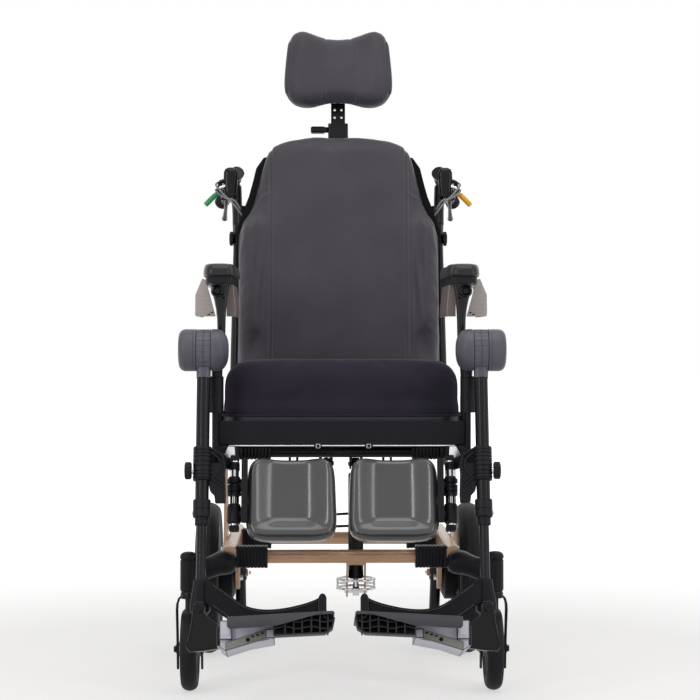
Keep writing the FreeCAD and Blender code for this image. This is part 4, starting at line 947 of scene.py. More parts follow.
def make_piece(
    name: str,
    shape: Shape | Mesh,
    finishes: Finish | Sequence[Finish],
    body: str,
    slot: str,
    replaces: Sequence[str] = (),
    angle: float = CRISP,
) -> Object:
    """slot: the record's material slot; not used.
        replaces: nodes that it stands for.
        angle: edges that turn more than this stay crisp.

    Returns:
        The piece.
    """
    if isinstance(shape, Shape):
        shape.tidy()
        data = shape.mesh(name)
    else:
        data = shape
    data.transform(TO_ROW)
    data.name = name
    numbers = np.zeros(len(data.polygons), dtype=np.int32)
    data.polygons.foreach_get("material_index", numbers)
    data.materials.clear()
    for finish in [finishes] if isinstance(finishes, Finish) else finishes:
        data.materials.append(finish.build())
    data.polygons.foreach_set("material_index", numbers)
    piece = add_object(name, data)
    settle_normals(piece, angle)
    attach(piece, body)
    if replaces:
        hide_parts(*replaces)
    LOG.info("%s on %s: %d faces", name, body, len(piece.data.polygons))
    return piece


def stand_in(
    node: str, shape: Shape | Mesh, finishes: Finish | Sequence[Finish], name: str = "", angle: float = CRISP
) -> Object:
    """Makes the piece that stands for a node and takes over its body.

    Args:
        node: the node.
        shape: the shape, or a mesh, in drawing millimetres.
        finishes: the finishes that its faces are numbered by.
        name: the piece's name, if it isn't the node's with _dressed.
        angle: edges that turn more than this stay crisp.

    Returns:
        The piece.
    """
    return make_piece(name or f"{node}_dressed", shape, finishes, body_of(node), slot_of(node), [node], angle)


# Nodes whose shape is right: copied, edges softened, each solid with its own finish


@dataclass(frozen=True)
class SolidRule:
    """Picks a node's solids by the size or place of their box, in drawing millimetres."""

    finish: Finish
    test: Callable[[Vector, Vector], bool]


@dataclass(frozen=True)
class CarriedNode:
    """A node that is shown with softened edges and a finish for each of its solids."""

    node: str
    finish: Finish
    soften: float = 0.6
    rules: tuple[SolidRule, ...] = ()
    drop: Callable[[Vector, Vector], bool] | None = None
    warp: Callable[[Vector], Vector] | None = None

    def build(self) -> Object:
        """Copies the node's mesh, softens it and makes the piece.

        Returns:
            The piece.
        """
        bm = bmesh.new()
        bm.from_mesh(frame["nodes"][self.node].data)
        bm.transform(TO_ROW.inverted())
        bmesh.ops.remove_doubles(bm, verts=bm.verts, dist=0.002)
        bmesh.ops.dissolve_limit(bm, angle_limit=math.radians(0.4), verts=bm.verts, edges=bm.edges)
        finishes = [self.finish] + [rule.finish for rule in self.rules]
        gone = []
        for solid in self.solids(bm):
            low, high = self.box(solid)
            if self.drop and self.drop(low, high):
                gone += solid
                continue
            number = next((n + 1 for n, rule in enumerate(self.rules) if rule.test(low, high)), 0)
            for face in solid:
                face.material_index = number
        if gone:
            bmesh.ops.delete(bm, geom=gone, context="FACES")
        if self.warp:
            for vert in bm.verts:
                vert.co = self.warp(vert.co)
        round_edges(bm, self.soften, 2, 38.0)
        data = bpy.data.meshes.new(self.node)
        bm.to_mesh(data)
        bm.free()
        return stand_in(self.node, data, finishes, angle=42.0)

    @staticmethod
    def solids(bm: bmesh.types.BMesh) -> list[list[bmesh.types.BMFace]]:
        """The faces of each separate solid."""
        left, found = set(bm.faces), []
        while left:
            stack, solid = [left.pop()], []
            while stack:
                face = stack.pop()
                solid.append(face)
                for edge in face.edges:
                    for other in edge.link_faces:
                        if other in left:
                            left.remove(other)
                            stack.append(other)
            found.append(solid)
        return found

    @staticmethod
    def box(solid: list[bmesh.types.BMFace]) -> tuple[Vector, Vector]:
        """A solid's lowest and highest corner."""
        places = np.array([v.co for face in solid for v in face.verts])
        return Vector(places.min(0)), Vector(places.max(0))


# Padded pieces


@dataclass(frozen=True)
class Pillow:
    """A padded form that faces +w: an outline on u and v, a front surface and rounded rims, in millimetres."""

    outline: tuple[tuple[float, float], ...]
    middle: tuple[float, float]
    front: Callable[[float, float], float]
    rear: float
    front_round: float
    rear_round: float

    def shape(self) -> Shape:
        """The closed form as rings that step in from the rim on both faces.

        Returns:
            The shape in (u, v, w).
        """
        centre = Vector(self.middle)
        rim = [Vector(p) for p in self.outline]
        rings = []
        shares = [n / 10 for n in range(10)]
        steps = 5
        for share in shares[::-1]:
            rings.append([self.spot(centre, p, self.rear_round + share * 0.98 * self.room(centre, p, False), False)
                          for p in rim])
        for n in range(steps):
            inset = self.rear_round * (1 - math.sin(math.pi / 2 * n / steps))
            rings.append([self.spot(centre, p, inset, False) for p in rim])
        for n in range(steps + 1):
            inset = self.front_round * (1 - math.cos(math.pi / 2 * n / steps))
            rings.append([self.spot(centre, p, inset, True) for p in rim])
        for share in shares[1:]:
            rings.append([self.spot(centre, p, self.front_round + share * 0.98 * self.room(centre, p, True), True)
                          for p in rim])
        return Shape().loft(rings).tidy()

    def room(self, centre: Vector, point: Vector, facing: bool) -> float:
        """How far a rim point can step in past the rounding."""
        rounding = self.front_round if facing else self.rear_round
        return (point - centre).length - rounding

    def spot(self, centre: Vector, point: Vector, inset: float, facing: bool) -> tuple[float, float, float]:
        """A point of the surface, stepped in from the rim.

        Args:
            centre: the outline's middle.
            point: the rim point.
            inset: how far in.
            facing: on the front, or else on the rear.

        Returns:
            The point.
        """
        reach = (point - centre).length
        u, v = centre + (point - centre) * ((reach - inset) / reach)
        rounding = self.front_round if facing else self.rear_round
        fall = 0.0
        if inset < rounding:
            fall = rounding - math.sqrt(max(0.0, rounding ** 2 - (rounding - inset) ** 2))
        return (u, v, self.front(u, v) - fall) if facing else (u, v, self.rear + fall)


# Frames that the cloth swells for, and the stiffness that keeps it from ballooning
CLOTH_FRAMES, CLOTH_STIFFNESS = 20, 12


@dataclass(frozen=True)
class Stuffing:
    """How a padded form swells: the size of its cloth's mesh, the pressure and the farthest that a point moves."""

    voxel: float
    pressure: float
    reach: float

    def swell(self, shape: Shape, name: str, hold: Callable[[Vector], float]) -> Mesh:
        """Remeshes the form and blows it up as cloth.

        Args:
            shape: the closed form, in millimetres about its own origin.
            name: the mesh's name.
            hold: how freely each point moves, from 0 to 1.

        Returns:
            The swollen mesh in millimetres.
        """
        data = shape.mesh(name)
        data.transform(Matrix.Scale(MM, 4))
        pad = add_object(name, data)
        remesh = pad.modifiers.new("voxels", "REMESH")
        remesh.mode = "VOXEL"
        remesh.voxel_size = self.voxel * MM
        pad.data = evaluated(pad)
        pad.modifiers.clear()
        self.blow(pad, hold)
        made = pad.data
        bpy.data.objects.remove(pad)
        made.transform(Matrix.Scale(1 / MM, 4))
        return made

    def blow(self, pad: Object, hold: Callable[[Vector], float]) -> None:
        """Runs the cloth and keeps each point within its reach.

        Args:
            pad: the remeshed form.
            hold: how freely each point moves.
        """
        modifier = pad.modifiers.new("stuffing", "CLOTH")
        cloth = modifier.settings
        cloth.quality = 4
        cloth.mass = 0.3
        cloth.tension_stiffness = CLOTH_STIFFNESS
        cloth.compression_stiffness = CLOTH_STIFFNESS
        cloth.use_pressure = True
        cloth.uniform_pressure_force = self.pressure
        cloth.effector_weights.gravity = 0
        modifier.collision_settings.use_collision = False
        modifier.point_cache.frame_start = 1
        modifier.point_cache.frame_end = CLOTH_FRAMES
        scene = bpy.context.scene
        for number in range(1, CLOTH_FRAMES + 1):
            scene.frame_set(number)
        seen = pad.evaluated_get(bpy.context.evaluated_depsgraph_get())
        count = len(pad.data.vertices)
        before, after = np.zeros(count * 3), np.zeros(count * 3)
        pad.data.vertices.foreach_get("co", before)
        seen.data.vertices.foreach_get("co", after)
        before, after = before.reshape(-1, 3), after.reshape(-1, 3)
        move = after - before
        far = np.linalg.norm(move, axis=1, keepdims=True) + 1e-9
        reach = self.reach * MM
        move *= reach * np.tanh(far / reach) / far
        free = np.array([hold(Vector(p) / MM) for p in before])[:, None]
        pad.modifiers.clear()
        pad.data.vertices.foreach_set("co", (before + move * free).ravel())
        pad.data.update()
        scene.frame_set(1)


def refine(data: Mesh, levels: int) -> Mesh:
    """Subdivides a mesh smoothly.

    Args:
        data: the mesh.
        levels: how many times.

    Returns:
        The finer mesh.
    """
    holder = add_object("finer", data)
    modifier = holder.modifiers.new("finer", "SUBSURF")
    modifier.levels = levels
    modifier.render_levels = levels
    finer = evaluated(holder)
    bpy.data.objects.remove(holder)
    return finer


def sculpt(data: Mesh, push: Callable[[Vector, Vector], float]) -> None:
    """Moves each point along its normal.

    Args:
        data: the mesh, in millimetres.
        push: how far, from a point and its normal.
    """
    normals = [v.normal.copy() for v in data.vertices]
    places = [v.co.copy() for v in data.vertices]
    moved = [p + n * push(p, n) for p, n in zip(places, normals)]
    data.vertices.foreach_set("co", [c for p in moved for c in p])
    data.update()


def laid_on(data: Mesh, line: Sequence[Point], proud: float) -> list[Vector]:
    """Drops a line onto the front of a pad.

    Args:
        data: the pad's mesh in (u, v, w).
        line: (u, v) points.
        proud: how far above the surface it lies.

    Returns:
        The points on the surface.
    """
    tree = BVHTree.FromPolygons([v.co for v in data.vertices], [p.vertices for p in data.polygons])
    found = []
    for u, v in line:
        hit, normal, _, _ = tree.ray_cast(Vector((u, v, 500.0)), Vector((0, 0, -1)))
        if hit is not None:
            found.append(hit + normal * proud)
    return found


@dataclass(frozen=True)
class Fold:
    """A soft fold in a cover: its middle, direction, half length, half width and depth."""

    u: float
    v: float
    degrees: float
    long: float
    wide: float
    deep: float

    def push(self, place: Vector) -> float:
        """How far the fold moves a point."""
        turn = math.radians(self.degrees)
        du, dv = place.x - self.u, place.y - self.v
        along = du * math.cos(turn) + dv * math.sin(turn)
        across = -du * math.sin(turn) + dv * math.cos(turn)
        return self.deep * hump(along, 0, self.long) * (
            hump(across, 0, self.wide) - 0.6 * hump(across, 1.6 * self.wide, self.wide)
        )


# From (x, height, forward) of a padded piece to (x, back, height) of the leaned back
FACING = Matrix(((1, 0, 0, 0), (0, 0, -1, 0), (0, 1, 0, 0), (0, 0, 0, 1)))


@dataclass(frozen=True)
class BackUpholstery:
    """The back's cushion with its side wings and sewn channels, and the lining behind it."""

    half: float = 206.0
    low: float = 99.0
    front: float = 78.0
    rear: float = 17.3
    seam: float = 136.0
    wing: float = 20.0
    stitch_pitch: float = 5.0
    folds: tuple[Fold, ...] = (
        Fold(172, 468, -38, 26, 4.5, 3.4),
        Fold(180, 446, -48, 30, 4.0, 3.2),
        Fold(184, 424, -58, 26, 3.6, 2.4),
        Fold(168, 432, -68, 30, 4.2, 2.2),
        Fold(190, 396, -72, 26, 4.0, 1.6),
        Fold(152, 486, -24, 18, 4.0, 1.6),
        Fold(160, 300, -84, 90, 6.0, 1.6),
        Fold(158, 170, -88, 60, 7.0, 1.3),
    )

    def outline(self) -> tuple[tuple[float, float], ...]:
        """The cushion's edge, seen from the front.

        Returns:
            Closed (x, height) points.
        """
        right = [(0, self.low - 1), (90, self.low - 1), (170, self.low), (196, self.low + 6), (205, self.low + 20)]
        right += [(self.half, 160), (self.half, 240), (self.half, 330), (self.half, 398), (204.5, 421), (196, 443)]
        right += [(184, 465), (175, 484), (169, 508), (164, 528), (159, 550), (154, 567), (147, 583), (135, 599)]
        right += [(116, 609), (92, 615), (50, 620), (0, 621)]
        return both_halves(right)

    def surface(self, x: float, height: float) -> float:
        """How far in front of the canes the cushion's face lies.

        Args:
            x: distance from the middle.
            height: height above the recline pin.

        Returns:
            The distance in millimetres.
        """
        out = abs(x)
        crown = 5.0 * (1 - (x / self.half) ** 2) * smoothstep(self.low, self.low + 90, height)
        reach = smoothstep(150, 230, height) * (1 - smoothstep(408, 478, height))
        roll = self.wing * reach * hump(out, 184, 22)
        valley = -3.0 * hump(out, 146, 9) * (0.4 + 0.6 * reach)
        slope = -7.0 * smoothstep(self.seam, self.half, out) * (1 - reach)
        return self.front + crown + roll + valley + slope

    def build(self, repeats: Repeats) -> None:
        """Makes the cushion, its stitching and the lining."""
        pillow = Pillow(self.outline(), (0, 350), self.surface, self.rear, 24.0, 10.0)
        stuffing = Stuffing(voxel=5.5, pressure=4.0, reach=9.0)
        data = stuffing.swell(pillow.shape(), "back_pad", lambda p: smoothstep(self.rear, self.rear + 22, p.z))
        data = refine(data, 1)
        sculpt(data, self.carve)
        seams = []
        for x in (-self.seam, self.seam):
            for step in (-4.2, 4.2):
                seams.append(laid_on(data, [(x + step, self.low + 8 + 6 * n) for n in range(82)], 0.25))
        threads = repeats.along.run(
            line_mesh(seams), stitch(self.stitch_pitch * 0.72, 0.55), THREAD, Pitch=self.stitch_pitch
        )
        for mesh in (data, threads):
            mesh.transform(DRAWING.back() @ FACING)
        cushion = stand_in("back_cushion", data, GREY_LEATHERETTE, "back_cushion_cover", PADDED)
        make_piece("back_cushion_stitches", threads, THREAD, "back", slot_of("back_cushion"))
        self.build_lining()

    def carve(self, place: Vector, normal: Vector) -> float:
        """Seams and folds in the cover.

        Args:
            place: a point of the cover.
            normal: its normal.

        Returns:
            How far it moves along the normal.
        """
        if normal.z < 0.05 or place.z < self.rear + 12:
            return 0.0
        seam = -2.6 * hump(abs(place.x), self.seam, 2.6) * (1 - smoothstep(590, 622, place.y))
        seam += 0.9 * hump(abs(place.x), self.seam, 11.0)
        mirrored = Vector((abs(place.x), place.y, place.z))
        folds = sum(fold.push(mirrored) for fold in self.folds)
        if place.x < 0:
            folds *= 0.85
        drift = 0.5 * math.sin(place.y / 37 + place.x / 61) * math.sin(place.x / 43)
        return seam + folds + drift

    def build_lining(self) -> None:
        """The lining shell that shows beside the wings and from behind."""
        right = [
            (207, 112), (208, 430), (198, 458), (190, 482), (183, 500), (175, 530), (168, 560), (153, 582), (112, 592)
        ]
        outline = right + [(-x, h) for x, h in right[::-1]]
        shell = Shape().prism(outline, -16.8, -12.9).rounded(1.2)
        shell.place(DRAWING.back())
        stand_in("back_panel", shell, LINING, "back_lining_panel")


@dataclass(frozen=True)
class HeadrestUpholstery:
    """The two-lobed head pad with its welt and two sewn seams."""

    middle: float = 752.0
    rear: float = 26.5
    thick: float = 60.0
    seam: float = 29.0
    scoop: float = 19.0
    stitch_pitch: float = 4.5

    def outline(self) -> tuple[tuple[float, float], ...]:
        """The pad's edge about its pivot, seen from the front."""
        right = [(0, 78), (22, 79.5), (44, 84), (62, 87.5), (78, 87.5), (90, 83), (99, 73), (104, 58), (107, 38)]
        right += [(109, 14), (111, -10), (111.5, -30), (108, -48), (97, -64), (80, -73), (58, -75.5), (36, -71.5)]
        right += [(18, -68), (0, -67)]
        return both_halves(right)

    def surface(self, x: float, height: float) -> float:
        """The face: hollow in the middle, with two full lobes."""
        lobes = self.scoop * (abs(x) / 72) ** 2 if abs(x) < 72 else self.scoop
        crown = -5.0 * (height / 75) ** 2
        return self.rear + self.thick - self.scoop + lobes + crown

    def build(self, repeats: Repeats) -> None:
        """Makes the pad, its stitches and its hinge."""
        pillow = Pillow(self.outline(), (0, 0), self.surface, self.rear, 26.0, 20.0)
        stuffing = Stuffing(voxel=4.5, pressure=4.0, reach=5.0)
        data = stuffing.swell(pillow.shape(), "head_pad", lambda p: smoothstep(self.rear - 2, self.rear + 14, p.z))
        data = refine(data, 1)
        sculpt(data, self.carve)
        seams = []
        for way in (-1, 1):
            line = [(way * (self.seam - 0.06 * h) + way * 2.2, h) for h in range(-66, 78, 4)]
            seams.append(laid_on(data, line, 0.2))
        threads = repeats.along.run(
            line_mesh(seams), stitch(self.stitch_pitch * 0.7, 0.4), THREAD, Pitch=self.stitch_pitch
        )
        lift = Matrix.Translation((0, self.middle, 0))
        for mesh in (data, threads):
            mesh.transform(DRAWING.back() @ FACING @ lift)
        pad = stand_in("headrest_pad", data, GREY_LEATHERETTE, "headrest_cover", PADDED)
        make_piece("headrest_stitches", threads, THREAD, "headrest_pad", slot_of("headrest_pad"))
        hinge = Shape()
        for low in (-14.3, 9.3):
            ear = Shape().prism([(-20, -12), (-3, -9), (-3, 9), (-20, 12)], low, low + 5, Axis.X).rounded(1.2)
            hinge.add(ear)
        plate = Shape().prism(oval(30, 24, 4), -29, -19.5, Axis.Y).rounded(2.0)
        pin = Shape().lathe([(-15.5, 0), (-15.5, 6.5), (-14.3, 6.5), (-14.3, 5), (14.3, 5), (14.3, 6.5), (15.5, 6.5),
                             (15.5, 0)], (0, -12, 0), (1, 0, 0), 24)
        hinge.add(plate, pin)
        hinge.place(DRAWING.back() @ Matrix.Translation((0, 0, self.middle)))
        make_piece("headrest_hinge", hinge, BLACK_NYLON, "headrest_pad", "black_plastic")

    def carve(self, place: Vector, normal: Vector) -> float:
        """Two seams down the hollow and a welt line round the edge."""
        if normal.z < 0.02:
            return 0.0
        seam = -1.6 * hump(abs(place.x), self.seam - 0.06 * place.y, 2.4)
        edge = 106 + 5.5 * smoothstep(60, -30, place.y)
        along = smoothstep(-68, -56, place.y) * (1 - smoothstep(64, 76, place.y))
        welt = hump(abs(place.x), edge - 8.5, 1.8) - 0.6 * hump(abs(place.x), edge - 4.5, 2.6)
        return seam - 1.9 * along * welt


@dataclass(frozen=True)
class SeatUpholstery:
    """The seat cushion, its piping, and the lower cover that stands on the plate."""

    half: float = 219.0
    front: float = 21.0
    rear: float = 398.0
    low: float = 497.0
    high: float = 592.0

    def outline(self) -> tuple[tuple[float, float], ...]:
        """The cushion seen from above: a rectangle with rounded corners."""
        middle = (self.front + self.rear) / 2
        ring = oval(self.half, (self.rear - self.front) / 2, 9.0, 160)
        return tuple((x, middle + y) for x, y in ring)

    def surface(self, x: float, y: float) -> float:
        """The domed top, a little hollow where one sits."""
        dome = 5.0 * (1 - (x / self.half) ** 2)
        hollow = -6.0 * hump(x, 0, 130) * hump(y, 250, 120)
        return self.high - 4 + dome + hollow

    def build(self) -> None:
        """Makes the cushion, the piping and the lower cover."""
        middle = (self.front + self.rear) / 2
        pillow = Pillow(self.outline(), (0, middle), self.surface, self.low, 34.0, 8.0)
        stuffing = Stuffing(voxel=6.0, pressure=4.0, reach=8.0)
        data = stuffing.swell(pillow.shape(), "seat_pad", lambda p: smoothstep(self.low + 2, self.low + 30, p.z))
        data = refine(data, 1)
        sculpt(data, self.carve)
        cushion = stand_in("seat_cushion", data, SEAT_CLOTH, "seat_cushion_cover", PADDED)
        trim = Shape()
        ring = [(x * 1.004, y, self.low + 1.5) for x, y in self.outline()]
        trim.tube(ring + ring[:1], 2.3, 8)
        base = [(x * 0.985, middle + (y - middle) * 0.99) for x, y in self.outline()]
        trim.add(Shape().prism(base, 447.6, self.low + 2, Axis.Z).rounded(3.0))
        edge = [(x * 1.002, y) for x, y in self.outline()]
        trim.add(Shape(slot=1).prism(edge, self.low - 10, self.low - 0.5, Axis.Z).rounded(2.0))
        make_piece("seat_cushion_piping", trim, [SEAT_CLOTH, PIPING], "seat", slot_of("seat_cushion"))

    def carve(self, place: Vector, normal: Vector) -> float:
        """Slack ripples on the front face and a slight pull above the piping."""
        pull = -1.6 * hump(place.z, self.low + 9, 6)
        ripple = 0.8 * math.sin(place.x / 47) * hump(place.z, 545, 26) if place.y < self.front + 20 else 0.0
        return pull + ripple


@dataclass(frozen=True)
class Armrest:
    """An armrest: flat post, forked bracket with its hand knob, tray, pad and guard."""

    side: Side
    post_x: float = 227.0
    post_y: float = 75.0
    neck_x: float = 219.5
    pad_x: float = 222.0
    tray_low: float = 738.0
    pad_low: float = 750.0
    pad_thick: float = 24.0
    pad_front: float = 20.0
    pad_long: float = 300.0
    pad_half: float = 31.0

    def build(self, repeats: Repeats) -> None:
        """Makes the post, the pad and the guard."""
        post = Shape().add(self.post(), self.bracket(), self.tray(), self.knob(repeats)).on(self.side)
        node = f"armrest_post_{self.side.label}"
        stand_in(node, post, [BLACK_COAT, GLOSS_ABS, BLACK_NYLON])
        self.pad()
        self.guard()

    def post(self) -> Shape:
        """The flat post with rounded edges."""
        rings = []
        for x, z in ((self.post_x, 426), (self.post_x, 520), (self.neck_x, 665)):
            rings.append([(x + u, self.post_y + v, z) for u, v in oval(6, 15, 7, 32)])
        return Shape().loft(rings)

    def bracket(self) -> Shape:
        """The glossy bracket that widens from the post to the tray."""
        levels = [(630, 6.4, 16), (640, 7.2, 17), (672, 7.8, 18), (690, 9.2, 19), (706, 11.5, 20), (720, 14, 21)]
        levels += [(731, 16.5, 22), (738.4, 18, 22)]
        rings = []
        for z, wide, deep in levels:
            shift = (self.pad_x - self.neck_x) * smoothstep(680, 738, z)
            rings.append([(self.neck_x + shift + u, self.post_y + v, z) for u, v in oval(wide, deep, 3.2, 28)])
        return Shape(slot=1).loft(rings)

    def tray(self) -> Shape:
        """The pad's moulded base with a turned-down rim."""
        rear = self.pad_front + self.pad_long
        middle = (self.pad_front + 8 + rear - 5) / 2
        half = (rear - 5 - self.pad_front - 8) / 2
        ring = [(self.pad_x + u, middle + v) for u, v in oval(26, half, 7.0, 64)]
        return Shape(slot=2).prism(ring, self.tray_low, self.pad_low, Axis.Z).rounded(2.5)

    def knob(self, repeats: Repeats) -> Shape:
        """The round hand knob on the bracket's front, with a fluted rim."""
        origin = (self.pad_x + 4, self.post_y - 30, 724)
        face = Shape(slot=1).lathe(
            [(4, 0), (4, 5), (1.2, 6.4), (0, 8.2), (0.6, 10.2), (3, 11.3), (9, 11.3), (11, 10.2), (11.5, 6), (14, 6)],
            origin, (0, 1, 0), 40,
        )
        boss = Shape(slot=1).lathe(
            [(0, 0), (0.6, 2.6), (2.4, 4.2), (6, 4.6), (12, 4.6)], (215.5, 46, 714.5), (0, 1, 0), 24
        )
        face.add(boss)
        flute = Shape().prism(oval(1.2, 1.2, 2, 6), -4, 4, Axis.Z)
        flutes = repeats.ring.run(
            None, flute, GLOSS_ABS, 1, Count=18, Radius=11.1
        )
        flutes.transform(quarter_turn(X_AXIS, Vector(origin) + Vector((0, 6.5, 0))))
        return face.add(flutes)

    def pad(self) -> None:
        """The moulded arm pad, crowned along its length."""
        middle = self.pad_front + self.pad_long / 2
        ring = tuple((self.pad_x + u, middle + v) for u, v in oval(self.pad_half, self.pad_long / 2, 5.0, 120))
        top = self.pad_low + self.pad_thick

        def surface(x: float, y: float) -> float:
            return top - 2.5 * ((x - self.pad_x) / self.pad_half) ** 2

        data = Pillow(ring, (self.pad_x, middle), surface, self.pad_low, 17.0, 5.0).shape().on(self.side)
        node = f"arm_pad_{self.side.label}"
        data = refine(data.mesh(node), 1)
        pad = stand_in(node, data, BLACK_VINYL, f"{node}_cover", PADDED)

    def guard(self) -> None:
        """The folded guard: a slanted outer leaf with a wide front flange, a roof and an inner leaf darkened with
        painted shade.
        """
        node = f"side_guard_{self.side.label}"
        face, rear = self.post_y + 27.0, self.pad_front + self.pad_long - 5
        outer = [(256, 748), (268.5, 718), (269, 681), (266.5, 678), (264, 678), (266, 717), (253.5, 746)]
        flange = [(256, 748), (268.5, 718), (269, 681), (265, 678), (231, 678), (238, 704), (245, 730), (250, 746)]
        roof = [(199, 737.6), (252, 737.6), (258, 742), (258, 739), (252, 735), (199, 735)]
        inner = [(199, 737.6), (194.5, 690), (194.5, 678), (197, 678), (197, 690), (201.5, 736)]
        lip = [(199, 737), (194.5, 690), (194.5, 678), (211, 678), (211, 731), (206, 737)]
        part = Shape()
        for outline, low, high in ((outer, face, rear), (flange, face - 1.2, face + 1.3), (roof, face, rear)):
            part.add(Shape().prism(outline, low, high).rounded(0.7, 2))
        # The inner leaf and its lip take the silver skin darkened with painted shade.
        for outline, low, high in ((inner, face, rear), (lip, face - 1.2, face + 1.3)):
            part.add(Shape(slot=1).prism(outline, low, high).rounded(0.7, 2))
        for n in range(6):
            z = 688 + 7.5 * n
            part.add(Shape().block((235.5 + 0.28 * (z - 688), face - 1.9, z), (265, face - 1, z + 0.9)))
        # Thin dark ovals on the face stand for the two slots: painted shade of the openings.
        for x, z in ((243.5, 681.8), (238, 685.3)):
            part.add(Shape(slot=2).prism([(x + u, z + v) for u, v in oval(2.6, 1.2, 3, 16)], face - 1.5, face))
        for y in (130, 290):
            part.add(
                Shape(slot=2).lathe([(0, 0), (0, 3.4), (1, 3.2), (1.6, 1.8), (1.6, 0)], (267.4, y, 700), (1, 0, 0), 20)
            )
        part.on(self.side)
        stand_in(node, part, [SILVER_ABS, SILVER_ABS_PAINTED_SHADE, BLACK_NYLON])


